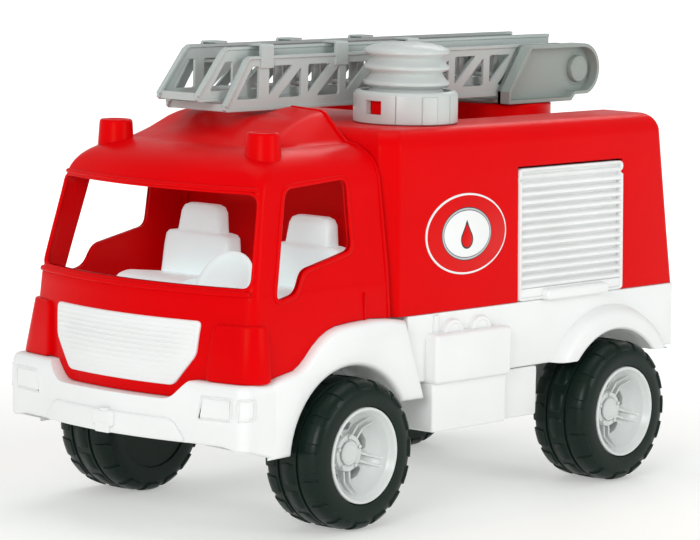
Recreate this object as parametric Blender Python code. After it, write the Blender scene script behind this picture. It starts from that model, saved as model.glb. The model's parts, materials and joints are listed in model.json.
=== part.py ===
"""Toy fire engine with a turning, rising and extending ladder, a bellows pump and free wheels.

Frame: the truck's front faces -Y, its left side is +X and +Z is up. The origin is on the
ground, on the centreline, below the middle of the overall length. Every number here is in
millimetres with y counted from the middle of the wheelbase, and metres() turns a point into
Blender's metres in the part's frame where a vertex is made.
"""

import math

import bmesh
import bpy
from mathutils import Vector

UNIT = 0.001
GAP = 0.3
SIDES = {"left": 1, "right": -1}

# Driving dimensions
WHEELBASE = 243.0
TYRE_R = 44.0
TYRE_OUTER_X = 105.0
TYRE_INNER_X = 64.0
RIM_R = 28.0
ARCH_R = 50.3
AXLE_R = 2.0
FENDER_X = 95.0
FRONT_Y = -226.0
CAB_FRONT_Y = -217.8
BOW = 0.00233
CAB_REAR_Y = -84.0
BOX_FRONT_Y = -75.0
REAR_Y = 191.0
SILL_Z = 117.8
SKIRT_Z = 78.0
FLOOR_Z = 81.0
SPINE_Z = 50.0
ROOF_Z = 226.5
WALL = 2.5
LADDER_X = -19.1
PIVOT_Y = 185.0
PIVOT_Z = 250.0
CRADLE_R = 16.5
TURN_Y = 138.0
PUMP_X = 42.0
PUMP_Y = -20.0
PUMP_TOP_Z = 274.6
COLLAR_Z = 226.8
SHUTTER_Y = (34.6, 136.4)
SHUTTER_Z = (118.2, 198.0)
BADGE_Y = -15.0
BADGE_Z = 163.0
BADGE_HALF = (37.0, 24.1)
HINGE_X = 83.0
HINGE_Z = 196.0

AXLES = {"front": -WHEELBASE / 2, "rear": WHEELBASE / 2}
REAR_ARCH = (AXLES["rear"] + 2.5, 43.0)
MIDDLE_Y = (FRONT_Y + PIVOT_Y + CRADLE_R) / 2
PIN_R = 4.0


# ---------------------------------------------------------------- helpers


def clear_scene():
    for obj in list(bpy.data.objects):
        bpy.data.objects.remove(obj)


def plastic(name, colour, roughness, metallic=0.0):
    material = bpy.data.materials.new(name)
    material.use_nodes = True
    shader = material.node_tree.nodes["Principled BSDF"]
    shader.inputs["Base Color"].default_value = (*colour, 1.0)
    shader.inputs["Roughness"].default_value = roughness
    shader.inputs["Metallic"].default_value = metallic
    return material


def place(axis, u, v, w):
    """A point from plane coordinates (u, v) and distance w along the axis."""
    return {"x": (w, u, v), "y": (u, w, v), "z": (u, v, w)}[axis]


def metres(point):
    """A point measured from the middle of the wheelbase, in the part's own frame."""
    x, y, z = point
    return Vector((x, y - MIDDLE_Y, z)) * UNIT


def tidy(bm):
    """Turns every face of a closed shape outwards."""
    bmesh.ops.recalc_face_normals(bm, faces=bm.faces[:])
    if bm.calc_volume(signed=True) < 0:
        bmesh.ops.reverse_faces(bm, faces=bm.faces[:])
    return bm


def hull(points):
    bm = bmesh.new()
    for point in points:
        bm.verts.new(metres(point))
    made = bmesh.ops.convex_hull(bm, input=bm.verts[:])
    inside = [item for item in made["geom_interior"] if isinstance(item, bmesh.types.BMVert)]
    bmesh.ops.delete(bm, geom=inside, context="VERTS")
    bmesh.ops.dissolve_limit(bm, angle_limit=0.001, verts=bm.verts[:], edges=bm.edges[:])
    return tidy(bm)


def box(low, high):
    return hull([(x, y, z) for x in (low[0], high[0]) for y in (low[1], high[1]) for z in (low[2], high[2])])


def loft(rings):
    """A solid through rings of equal length, with a flat face at each end."""
    bm = bmesh.new()
    loops = [[bm.verts.new(metres(point)) for point in ring] for ring in rings]
    for lower, upper in zip(loops, loops[1:]):
        for i in range(len(lower)):
            bm.faces.new((lower[i - 1], lower[i], upper[i], upper[i - 1]))
    bm.faces.new(reversed(loops[0]))
    bm.faces.new(loops[-1])
    return tidy(bm)


def plate(outline, axis, low, high, holes=()):
    """A flat outline with holes, given thickness along an axis."""
    bm = bmesh.new()
    loops = []
    for points in (outline, *holes):
        loop = [bm.verts.new(metres(place(axis, u, v, low))) for u, v in points]
        for i in range(len(loop)):
            bm.edges.new((loop[i - 1], loop[i]))
        loops.append(loop)
    made = bmesh.ops.triangle_fill(bm, edges=bm.edges[:], use_beauty=True)
    caps = [item for item in made["geom"] if isinstance(item, bmesh.types.BMFace)]
    raised = {}
    for points, loop in zip((outline, *holes), loops):
        for (u, v), vert in zip(points, loop):
            raised[vert] = bm.verts.new(metres(place(axis, u, v, high)))
    for face in caps:
        bm.faces.new([raised[vert] for vert in face.verts])
    for loop in loops:
        for i in range(len(loop)):
            a, b = loop[i - 1], loop[i]
            bm.faces.new((a, b, raised[b], raised[a]))
    return tidy(bm)


def arc(cu, cv, radius, start, end, steps):
    angles = [math.radians(start + (end - start) * i / steps) for i in range(steps + 1)]
    return [(cu + radius * math.cos(a), cv + radius * math.sin(a)) for a in angles]


def circle(cu, cv, radius, steps):
    return arc(cu, cv, radius, 0, 360, steps)[:-1]


def rod(axis, cu, cv, radius, low, high, steps=16):
    rings = []
    for w in (low, high):
        rings.append([place(axis, u, v, w) for u, v in circle(cu, cv, radius, steps)])
    return loft(rings)


def lathe(profile, axis, cu, cv, steps=32):
    """A closed (radius, height) profile turned about an axis through (cu, cv)."""
    bm = bmesh.new()
    rings = []
    for radius, height in profile:
        if radius == 0:
            rings.append([bm.verts.new(metres(place(axis, cu, cv, height)))] * steps)
            continue
        ring = [place(axis, u, v, height) for u, v in circle(cu, cv, radius, steps)]
        rings.append([bm.verts.new(metres(point)) for point in ring])
    for i in range(len(rings)):
        first, second = rings[i - 1], rings[i]
        if first[0] is first[1] and second[0] is second[1]:
            continue
        for k in range(steps):
            corners = [first[k - 1], first[k], second[k], second[k - 1]]
            bm.faces.new(list(dict.fromkeys(corners)))
    return tidy(bm)


def mirrored(bm):
    """A copy reflected in the truck's centre plane."""
    copy = bm.copy()
    for vert in copy.verts:
        vert.co.x = -vert.co.x
    return tidy(copy)


def join(*shapes):
    """Shapes that don't touch each other, held in one mesh."""
    whole = bmesh.new()
    for shape in shapes:
        mesh = bpy.data.meshes.new("join")
        shape.to_mesh(mesh)
        whole.from_mesh(mesh)
        bpy.data.meshes.remove(mesh)
    return whole


def both(bm):
    return join(bm, mirrored(bm))


def add(name, bm, material, origin=(0, MIDDLE_Y, 0), smooth=None):
    """A named object whose own origin is at the given point."""
    mesh = bpy.data.meshes.new(name)
    start = metres(origin)
    for vert in bm.verts:
        vert.co -= start
    bm.to_mesh(mesh)
    mesh.materials.append(material)
    if smooth:
        mesh.shade_smooth()
        mesh.set_sharp_from_angle(angle=math.radians(smooth))
    obj = bpy.data.objects.new(name, mesh)
    obj.location = start
    bpy.context.scene.collection.objects.link(obj)
    return obj


def alter(owner, bm, operation="DIFFERENCE"):
    """Cuts a shape from an object, or unites the shape with it."""
    mesh = bpy.data.meshes.new(owner.name + "_tool")
    bm.to_mesh(mesh)
    helper = bpy.data.objects.new(owner.name + "_tool", mesh)
    helper.hide_render = True
    helper.display_type = "WIRE"
    bpy.context.scene.collection.objects.link(helper)
    modifier = owner.modifiers.new(operation.title(), "BOOLEAN")
    modifier.operation = operation
    modifier.solver = "EXACT"
    modifier.object = helper


# ---------------------------------------------------------------- shared shapes


def fender_outline(offset=0.0):
    """The front fender seen from the side as (y, z), its top edge grown by offset."""
    y = AXLES["front"]
    top = [(-190, 89), (-174, 96.5), (-161, 108), (-146, 116), (-136, 118.3), (-93, 119), (-75, 116.5)]
    raised = [(u, v + offset) for u, v in top]
    start = math.degrees(math.asin((69 - TYRE_R) / ARCH_R))
    opening = arc(y, TYRE_R, ARCH_R, start, 176, 12)
    return [(-190 - offset, 47), *raised, (-57 + offset, 69), *opening]


def bowed_y(centre_y, x):
    """The front surface's y at a sideways distance x: the middle stands proudest."""
    return centre_y + BOW * x * x


def front_path(centre_y, half, corner, side_y, offset=0.0):
    """The plan outline from the left side round the bowed front to the right side."""
    half += offset
    start = half - corner
    front = [start * (1 - i / 4) for i in range(9)]
    path = [(x, bowed_y(centre_y - offset, x)) for x in front]
    corner_y = bowed_y(centre_y - offset, start)
    bend = []
    for t in (0.0, 0.33, 0.67):
        x = (1 - t) ** 2 * half + 2 * t * (1 - t) * half + t * t * start
        y = corner_y + corner * (1.6 * (1 - t) ** 2 + 0.7 * t * (1 - t))
        bend.append((x, y))
    left = [(half, side_y), *bend]
    right = [(-x, y) for x, y in reversed(left)]
    return [*left, *path, *right]


def cab_stations():
    """(z, half width, front y at the centre) from the bottom of the cab to its roof."""
    return [
        (80.0, 89.0, CAB_FRONT_Y),
        (118.0, 88.5, -216.8),
        (140.0, 86.8, -213.8),
        (143.0, 86.2, -212.7),
        (170.0, 82.6, -205.6),
        (195.0, 79.3, -199.2),
        (204.0, 77.5, -196.5),
        (211.0, 72.5, -190.0),
        (216.0, 64.0, -178.0),
        (218.5, 54.0, -165.0),
    ]


def cab_rings(inset, rear_y, low_z, high_z):
    rings = []
    for z, half, front in cab_stations():
        if z <= high_z:
            path = front_path(front + inset, half - inset, 5.0, rear_y)
            rings.append([(x, y, max(z, low_z)) for x, y in path])
    return rings


# ---------------------------------------------------------------- chassis and running gear


def bumper_path(inset, side_y):
    """The bumper's plan outline: a bow that flattens out towards tight corners."""
    half = FENDER_X - inset
    left = [(half, side_y), (half, -205 + inset), (half - 1.6, -210.4 + inset), (half - 7, -213.8 + inset)]
    left += [(x, bowed_y(FRONT_Y + inset, x)) for x in (60, 45, 30, 15, 0)]
    return left + [(-x, y) for x, y in reversed(left[:-1])]


def bumper():
    outline = bumper_path(0.0, -150.0)
    return loft([[(x, y, z) for x, y in outline] for z in (56.0, 91.0)])


def chassis(material):
    sill = [(88, BOX_FRONT_Y + 8), (88, REAR_Y), (-88, REAR_Y), (-88, BOX_FRONT_Y + 8)]
    obj = add("chassis", plate(sill, "z", SKIRT_Z, SILL_Z), material)
    alter(obj, plate([(58, -200), (58, -60), (-58, -60), (-58, -200)], "z", SKIRT_Z, 91), "UNION")
    alter(obj, box((-50, -168, SPINE_Z), (50, 168, SKIRT_Z + 2)), "UNION")
    alter(obj, join(*[box((-50, y - 6.5, 41), (50, y + 6.5, 60)) for y in AXLES.values()]), "UNION")
    alter(obj, bumper(), "UNION")
    alter(obj, both(plate(fender_outline(), "x", 60, FENDER_X)), "UNION")
    lip = arc(*REAR_ARCH, 64.5, 32.9, 147.1, 14) + arc(*REAR_ARCH, 49.0, 135, 45, 12)
    alter(obj, both(plate(lip, "x", 80, 96)), "UNION")
    lockers(obj)
    hollows(obj)
    liner = arc(*REAR_ARCH, 54.4, 38, 142, 10) + arc(*REAR_ARCH, 49.0, 142, 38, 10)
    alter(obj, both(plate(liner, "x", 57, 83)), "UNION")
    alter(obj, both(rod("x", *REAR_ARCH, 51.4, 58, 110, 32)))
    alter(obj, both(rod("x", AXLES["front"], TYRE_R, ARCH_R, 58, 110, 32)))
    for axle_y in AXLES.values():
        alter(obj, rod("x", axle_y, TYRE_R, AXLE_R + GAP, -60, 60, 12))
    alter(obj, tongue(GAP))
    holes = [rod("z", x, y, 1.8, 60, 90, 10) for x, y in screw_places()]
    alter(obj, join(*holes))
    return obj


def lockers(obj):
    """The equipment lockers and the two hose rolls between the wheels."""
    alter(obj, both(box((60, -48, 76.5), (FENDER_X, 20.5, 106))), "UNION")
    alter(obj, both(box((58, -48, 47.5), (93, 19, 77))), "UNION")
    alter(obj, both(box((57, 10, 47.5), (87, 55, SKIRT_Z + 1))), "UNION")
    rolls = join(rod("x", -25, 104, 9, 80, 92), rod("x", 1, 104, 9, 80, 92))
    alter(obj, both(rolls), "UNION")


def hollows(obj):
    """The open spaces that leave the chassis about 3 mm thick."""
    alter(obj, loft([[(x, y, z) for x, y in bumper_path(3.0, -176.0)] for z in (40, SKIRT_Z)]))
    alter(obj, box((-84, -60, FLOOR_Z), (84, REAR_Y - 3.5, 130)))
    alter(obj, both(box((61, -45, 51), (90, 16, 103))))
    alter(obj, both(box((61, 22, 51), (84, 52, 90))))
    alter(obj, box((-55, -195, FLOOR_Z), (55, -59, 130)))
    over = [(-186, FLOOR_Z), (-186, 87), (-172.5, 93.5), (-159.5, 105), (-145, 113), (-93, 116)]
    over += [(-77, 113.7), (-64, FLOOR_Z)]
    over += arc(AXLES["front"], TYRE_R, 53.4, 42.5, 137.5, 10)
    alter(obj, both(plate(over, "x", 54, 92)))
    pockets = [(-165, -128), (-115, 115), (128, 165)]
    alter(obj, join(*[box((-47, low, SPINE_Z + 3), (47, high, 100)) for low, high in pockets]))


def tongue(grow=0.0):
    """The cab's front tongue below its skirt, as wide as the grille."""
    outline = [(-41, 80.4), (41, 80.4), (55.5, 93), (-55.5, 93)]
    grown = [(x * (1 + grow / 45), z - grow) for x, z in outline]
    return plate(grown, "y", -240, -205)


def screw_places():
    return [(54, -50), (-54, -50), (50, 172), (-50, 172)]


def body_screws(material):
    for number, (x, y) in enumerate(screw_places(), 1):
        head = [(0, 73.0), (3.5, 73.0), (3.5, SKIRT_Z - GAP), (1.5, SKIRT_Z - GAP), (1.5, 95.0), (0, 95.0)]
        add(f"body_screw_{number}", lathe(head, "z", x, y, 12), material, smooth=40)


def axle_set(materials):
    for end, y in AXLES.items():
        shaft = rod("x", y, TYRE_R, AXLE_R, -90, 90, 16)
        add(f"{end}_axle", shaft, materials["steel"], (0, y, TYRE_R), 40)
        for side, sign in SIDES.items():
            ring = [(AXLE_R + GAP, 87.6), (4.4, 87.6), (4.4, 88.6), (AXLE_R + GAP, 88.6)]
            profile = [(radius, sign * x) for radius, x in ring]
            nut = lathe(profile, "x", y, TYRE_R, 8)
            add(f"push_nut_{end}_{side}", nut, materials["steel"], (0, y, TYRE_R), 40)


def tyre_profile():
    return [
        (RIM_R + GAP, 66.0), (38.0, TYRE_INNER_X), (42.4, 67.0), (TYRE_R, 71.5),
        (TYRE_R, 96.0), (42.4, 100.5), (38.5, 103.8), (34.0, TYRE_OUTER_X), (RIM_R + GAP, 103.2),
    ]


def rim_profile():
    bore = AXLE_R + GAP
    return [
        (RIM_R, 66.0), (RIM_R, 104.5), (26.4, 104.5), (25.0, 98.0), (24.5, 85.5),
        (10.6, 88.8), (10.6, 92.0), (5.0, 92.0), (5.0, 87.2), (bore, 87.2), (bore, 66.0),
        (8.0, 66.0), (8.0, 82.0), (25.0, 79.5), (25.0, 66.0),
    ]


def wheels(materials):
    for end, y in AXLES.items():
        for side, sign in SIDES.items():
            name = f"{end}_{side}"
            origin = (0, y, TYRE_R)
            tyre = lathe([(r, sign * x) for r, x in tyre_profile()], "x", y, TYRE_R, 24)
            add(f"tyre_{name}", tyre, materials["tyre"], origin, 40)
            rim = lathe([(r, sign * x) for r, x in rim_profile()], "x", y, TYRE_R, 20)
            obj = add(f"rim_{name}", rim, materials["rim"], origin, 30)
            windows = []
            for i in range(5):
                angle = math.radians(54 + 72 * i)
                centre = (y + 17.5 * math.cos(angle), TYRE_R + 17.5 * math.sin(angle))
                windows.append(rod("x", *centre, 3.4, *sorted((sign * 76, sign * 96)), 6))
            alter(obj, join(*windows))
            cap = [(0, 92.3), (9.5, 92.3), (9.5, 94.2), (8.6, 95.2), (0, 95.2)]
            cover = lathe([(r, sign * x) for r, x in cap], "x", y, TYRE_R, 16)
            add(f"hub_cap_{name}", cover, materials["rim"], origin, 30)


# ---------------------------------------------------------------- cab


def cab_shell(material):
    obj = add("cab_shell", loft(cab_rings(0, CAB_REAR_Y, 80.0, 218.5)), material)
    hump = [
        (sign * x, y, z)
        for sign in (1, -1)
        for x, y, z in (
            (60, -194, 206), (65, -188, 204), (36, CAB_REAR_Y, 234.8), (48, CAB_REAR_Y, 219),
            (10, CAB_REAR_Y, 236.8), (40, -190, 200), (44, CAB_REAR_Y, 213),
        )
    ]
    alter(obj, hull(hump), "UNION")
    beacon = [(0, 206), (11, 206), (11, 212.6), (9.45, 227), (8.4, 228.1), (0, 228.1)]
    alter(obj, both(lathe(beacon, "z", 59.3, -162.5, 20)), "UNION")
    alter(obj, fairings(), "UNION")
    alter(obj, loft(cab_rings(WALL, 0.0, 60.0, 216.0)))
    alter(obj, box((-100, -240, 60), (100, -60, 91.4)))
    alter(obj, cab_tongue(), "UNION")
    alter(obj, both(plate(fender_outline(0.4), "x", 59, 100)))
    alter(obj, both(rod("x", AXLES["front"], TYRE_R, ARCH_R + 1.5, 59, 110, 32)))
    alter(obj, windshield_cutter())
    side_window = [(-177, 137), (-163, 138.6), (-156, 151.5), (-115, 160.5), (-114, 199.6), (-163.6, 196.8)]
    alter(obj, plate(side_window, "x", -110, 110))
    alter(obj, box((-90, -240, 233.8), (9, -60, 250)))
    return obj


def cab_tongue():
    """The flat tongue that drops into the bumper's notch."""
    shape = tongue()
    for vert in shape.verts:
        surface = bowed_y(CAB_FRONT_Y, vert.co.x / UNIT)
        if vert.co.y > metres((0, -220, 0)).y:
            surface += WALL
        vert.co.y = metres((0, surface, 0)).y
    return shape


def fairings():
    """The raised wrap-round panels at the cab's two front corners, which flare out towards the bumper."""
    low = [(91, -178), (91, -204), (88.4, -209.6), (82, -212), (62, -213.4), (58, -209), (80, -200), (86, -178)]
    high = [(90, -178), (90, -197), (87.6, -201.4), (82, -204.6), (65, -210.4), (61, -206), (80, -198), (86, -178)]
    return both(loft([[(x, y, 91.6) for x, y in low], [(x, y, 123) for x, y in high]]))


def windshield_cutter():
    rings = []
    for z, half, front in ((144.5, 82.0, -212.3), (194.0, 75.6, -199.5)):
        across = [half * (1 - i / 4) for i in range(9)]
        outer = [(x, bowed_y(front - 6, x), z) for x in across]
        inner = [(x, bowed_y(front + 8, x), z) for x in reversed(across)]
        rings.append(outer + inner)
    return loft(rings)


def grille_panel(material):
    """The ribbed panel, bent to the cab's bowed front."""
    bm = bmesh.new()
    columns = 12
    rows = []
    for i in range(columns + 1):
        x = -57.6 + 115.2 * i / columns
        low = max(86.9, 105.1 - (57.6 - abs(x)) * 18.2 / 15.8)
        points = []
        for depth in (0.4, 2.0):
            for z in (low, 124.3):
                points.append(bm.verts.new(metres((x, bowed_y(CAB_FRONT_Y + 0.6 - depth, x), z))))
        rows.append((points[0], points[1], points[3], points[2]))
    for first, second in zip(rows, rows[1:]):
        for k in range(4):
            bm.faces.new((first[k - 1], first[k], second[k], second[k - 1]))
    bm.faces.new(rows[0])
    bm.faces.new(reversed(rows[-1]))
    return add("grille_panel", tidy(bm), material)


def cab_seats(material):
    obj = add("cab_seats", box((-72, -152, 119.6), (72, -92, 126)), material)
    side_view = ((-150, 125), (-149, 136), (-104, 132), (-100, 125))
    for x in (44, -44):
        cushion = hull([(x + dx, y, z) for dx in (-27, 27) for y, z in side_view])
        back = hull([
            (x + dx * w, y, z)
            for dx in (-1, 1)
            for w, y, z in ((27, -110, 125), (27, -106, 158), (20, -104, 175), (20, -98, 175), (27, -97, 125))
        ])
        alter(obj, cushion, "UNION")
        alter(obj, back, "UNION")
    alter(obj, both(box((20, -145, 110), (68, -105, 131))))
    post_view = ((-152, 120), (-138, 120), (-161, 131), (-157, 134))
    alter(obj, hull([(38 + dx, y, z) for dx in (-5, 5) for y, z in post_view]), "UNION")
    return obj


def steering_wheel(material):
    """A plain round wheel on a tilted column in front of the left seat."""
    rings = []
    for step in (0.0, 3.0):
        ring = []
        for u, v in circle(0, 0, 20, 20):
            tilt = math.radians(28)
            y = -164 - step * math.cos(tilt) + v * math.sin(tilt)
            ring.append((38 + u, y, 141 + v * math.cos(tilt) + step * math.sin(tilt)))
        rings.append(ring)
    return add("steering_wheel", loft(rings), material, smooth=30)


# ---------------------------------------------------------------- body box


def box_ring(z, half, front, rear, inset=0.0, chamfer=9.0):
    half, front, rear = half - inset, front + inset, rear - inset
    corner = 4.0
    side = [(half - chamfer, front), (half, front + chamfer), (half, rear - corner), (half - corner, rear)]
    return [(x, y, z) for x, y in side + [(-x, y) for x, y in reversed(side)]]


def body_stations():
    """(z, half width, front y, rear y) of the box."""
    return [
        (SILL_Z + GAP, 88.0, BOX_FRONT_Y - 9, 190.5),
        (214.0, 85.3, BOX_FRONT_Y - 8, 176.5),
        (220.0, 84.2, BOX_FRONT_Y - 7, 175.0),
        (224.5, 80.5, BOX_FRONT_Y - 3, 172.0),
        (ROOF_Z, 76.0, BOX_FRONT_Y + 2, 168.0),
    ]


def body_box(material):
    stations = body_stations()
    obj = add("body_box", loft([box_ring(*station) for station in stations]), material)
    low, high = stations[0], stations[1]
    hollow = [(100.0, *low[1:]), (214.0, *high[1:])]
    alter(obj, loft([box_ring(*station, inset=WALL) for station in hollow]))
    alter(obj, box((-74, -70, 205), (74, 21, ROOF_Z - 3)))
    alter(obj, box((49, 15, 205), (76, 165, ROOF_Z - 3)))
    alter(obj, both(plate(fender_outline(0.4), "x", 59, 100)))
    front, rear = SHUTTER_Y[0] - 1, SHUTTER_Y[1] + 1
    alter(obj, both(box((70, front, 100), (100, rear, HINGE_Z + 3.7))))
    alter(obj, box((-76, 25, 217), (46, 200, 240)))
    alter(obj, rod("z", LADDER_X, TURN_Y, 36, 215.2, 229.6, 28), "UNION")
    alter(obj, rod("z", LADDER_X, TURN_Y, 14, 211, 220, 20), "UNION")
    alter(obj, rod("z", LADDER_X, TURN_Y, 6, 200, 240, 20))
    alter(obj, rod("z", PUMP_X, PUMP_Y, 13, 200, 240, 20))
    posts = join(*[rod("z", x, y, 4, FLOOR_Z + 0.4, 225 if y < 0 else 213, 12) for x, y in screw_places()])
    alter(obj, posts, "UNION")
    alter(obj, join(*[rod("z", x, y, 1.8, 60, 97, 10) for x, y in screw_places()]))
    for y in (front - 2.4, rear + 2.4):
        lug = box((79.5, y - 2.4, HINGE_Z - 3), (84.5, y + 2.4, HINGE_Z + 8))
        alter(obj, both(lug), "UNION")
    alter(obj, both(rod("y", HINGE_X, HINGE_Z, 1.5, front - 3, rear + 3, 10)))
    return obj


def shutters(materials):
    """Louvred doors on moulded trunnions along their top edges."""
    low, high = SHUTTER_Z
    count = 13
    pitch = (high - low - 6.0) / count
    for side, sign in SIDES.items():
        face = []
        for i in range(count):
            z = low + 3.0 + pitch * i
            lean = (z - low) * 0.026
            face += [(88.6 - lean, z), (87.4 - lean, z + 0.5), (87.4 - lean, z + pitch - 1.6)]
        outline = [(86.0, low), (88.9, low), *face, (86.5, high - 1.6), (85.4, high), (83.9, high)]
        door = plate([(sign * x, z) for x, z in outline], "y", *SHUTTER_Y)
        obj = add(f"shutter_{side}", door, materials["white"], (sign * HINGE_X, 0, HINGE_Z))
        handle = box((88.3, 57, low - 0.8), (93.5, 118, low + 6))
        alter(obj, handle if sign > 0 else mirrored(handle), "UNION")
        trunnion = rod("y", sign * HINGE_X, HINGE_Z, 1.15, SHUTTER_Y[0] - 3.4, SHUTTER_Y[1] + 3.4, 10)
        alter(obj, trunnion, "UNION")


def badges(material):
    for side, sign in SIDES.items():
        lean = 0.0255
        outline = [(BADGE_Y + u * BADGE_HALF[0], BADGE_Z + v * BADGE_HALF[1]) for u, v in circle(0, 0, 1, 32)]
        disc = plate(outline, "x", 0, 0.8)
        for vert in disc.verts:
            drop = (vert.co.z / UNIT - SILL_Z) * lean
            vert.co.x = sign * (vert.co.x + (88.4 - drop) * UNIT)
        add(f"badge_{side}", tidy(disc), material)


# ---------------------------------------------------------------- turntable and ladder


def cradle(material):
    """The U-shaped bracket that turns on the roof and carries the ladder."""
    floor_front, floor_rear = TURN_Y - 28, TURN_Y + 35
    end = arc(PIVOT_Y, PIVOT_Z, CRADLE_R, -75, 90, 11)
    outline = [(floor_front, 230.1), (floor_rear, 230.1), (floor_rear + 4, 234)]
    outline += [*end, (131, 266.5), (floor_front, 238)]
    inner = arc(PIVOT_Y, PIVOT_Z, CRADLE_R - 2.5, -75, 90, 11)
    recess = [(floor_front + 3, 233.4), (floor_rear - 1, 233.4), (floor_rear + 3, 236.4)]
    recess += [*inner, (132.5, 264), (floor_front + 3, 238.5)]
    obj = add("turntable_cradle", rod("z", LADDER_X, TURN_Y, 33, 229.9, 232.1, 28), material, smooth=30)
    alter(obj, box((LADDER_X - 26, floor_front + 1, 230.4), (LADDER_X + 26, floor_rear - 2, 232.8)), "UNION")
    for sign in (1, -1):
        cheek = plate(outline, "x", *sorted((LADDER_X + sign * 25, LADDER_X + sign * 34.7)))
        hollow = plate(recess, "x", *sorted((LADDER_X + sign * 27.5, LADDER_X + sign * 40)))
        alter(obj, cheek, "UNION")
        alter(obj, hollow)
    alter(obj, rod("z", LADDER_X, TURN_Y, 5.6, 212.2, 231.4, 18), "UNION")
    alter(obj, rod("x", PIVOT_Y, PIVOT_Z, PIN_R + GAP, LADDER_X - 41, LADDER_X + 42, 18))
    alter(obj, rod("z", LADDER_X, TURN_Y, 1.8, 207.5, 227.5, 12))
    return obj


def turntable_fixing(material):
    washer = lathe([(2.0, 209.6), (10, 209.6), (10, 210.7), (2.0, 210.7)], "z", LADDER_X, TURN_Y, 20)
    add("turntable_washer", washer, material, (LADDER_X, TURN_Y, 210), 30)
    screw = [(0, 205.5), (4.2, 205.5), (4.2, 209.3), (1.5, 209.3), (1.5, 226), (0, 226)]
    add("turntable_screw", lathe(screw, "z", LADDER_X, TURN_Y, 14), material, (LADDER_X, TURN_Y, 210), 30)


def pivot_pins(material):
    for side, sign in SIDES.items():
        shank = [(0, 20.5), (PIN_R, 20.5), (PIN_R, 27.5 + GAP), (8.6, 27.5 + GAP)]
        profile = [*shank, (8.6, 30.8), (7.8, 31.6), (0, 31.6)]
        shifted = [(r, LADDER_X + sign * x) for r, x in profile]
        pin = lathe(shifted, "x", PIVOT_Y, PIVOT_Z, 16)
        add(f"ladder_pivot_pin_{side}", pin, material, (0, PIVOT_Y, PIVOT_Z), 30)


def truss_holes(first, pitch, count, low, high, slope, post, web):
    """Two triangles in each bay, either side of a diagonal that leans back."""
    holes = []
    for i in range(count):
        start = first + pitch * i + post / 2
        end = start + pitch - post
        rise = (end - start - web) / (high - low)
        holes.append([(start, low + 1.5), (start, high), (start + (high - low - 1.5) * rise * slope, high)])
        holes.append([(end, high - 1.5), (end, low), (end - (high - low - 1.5) * rise * slope, low)])
    return holes


def ladder_lower(material):
    low, high = 234.8, 266.7
    rear = arc(PIVOT_Y, PIVOT_Z, 15.0, -90, 90, 8)
    front = [(-117.8, high), (-137.7, low + 3), (-136, low)]
    outline = [*rear, *front]
    holes = truss_holes(-102.8, 33.8, 8, low + 7, high - 6, 1.0, 6, 6)
    holes.append(circle(PIVOT_Y, PIVOT_Z, PIN_R + GAP, 20))
    holes.append([(-127.5, low + 7), (-108.5, low + 7), (-108.5, high - 6), (-114, high - 6)])
    trusses = [
        plate(outline, "x", *sorted((LADDER_X + sign * 21.5, LADDER_X + sign * 24)), holes)
        for sign in (1, -1)
    ]
    obj = add("ladder_lower", join(*trusses), material, (0, PIVOT_Y, PIVOT_Z))
    rungs = [rod("x", -102.8 + 33.8 * i, 237.4, 1.7, LADDER_X - 23, LADDER_X + 23, 8) for i in range(8)]
    rungs.append(box((LADDER_X - 23, -133, 235.2), (LADDER_X + 23, -125, 239)))
    alter(obj, join(*rungs), "UNION")
    hook = [(24, high - 3.5), (24, high), (17.2, high), (17.2, high - 2), (22, high - 3.5)]
    hooks = []
    for y in (-100, -35, 30):
        for sign in (1, -1):
            hooks.append(plate([(LADDER_X + sign * u, v) for u, v in hook], "y", y, y + 8))
    alter(obj, join(*hooks), "UNION")
    return obj


def ladder_upper(material):
    low, high = 240.8, 272.1
    outline = [(171.2, low), (171.2, high), (-129.4, high), (-153.3, low + 3), (-151.5, low)]
    holes = truss_holes(-118.0, 33.8, 8, low + 6, high - 8.5, 1.0, 5, 5)
    holes.append([(-142, low + 6), (-123, low + 6), (-123, high - 8.5), (-129.5, high - 8.5)])
    trusses = []
    for sign in (1, -1):
        trusses.append(plate(outline, "x", *sorted((LADDER_X + sign * 14, LADDER_X + sign * 16.4)), holes))
    obj = add("ladder_upper", join(*trusses), material, (0, PIVOT_Y, PIVOT_Z))
    rungs = [rod("x", -101.1 + 33.8 * i, 245.5, 1.6, LADDER_X - 15, LADDER_X + 15, 8) for i in range(8)]
    rungs.append(box((LADDER_X - 15, -149, 241.5), (LADDER_X + 15, -137, 244)))
    alter(obj, join(*rungs), "UNION")
    rib = [(sign * 15.5, sign * 20.5) for sign in (1, -1)]
    ribs = [box((LADDER_X + min(x), -116, 261.0), (LADDER_X + max(x), 168, 262.8)) for x in rib]
    alter(obj, join(*ribs), "UNION")
    return obj


# ---------------------------------------------------------------- pump


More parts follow.
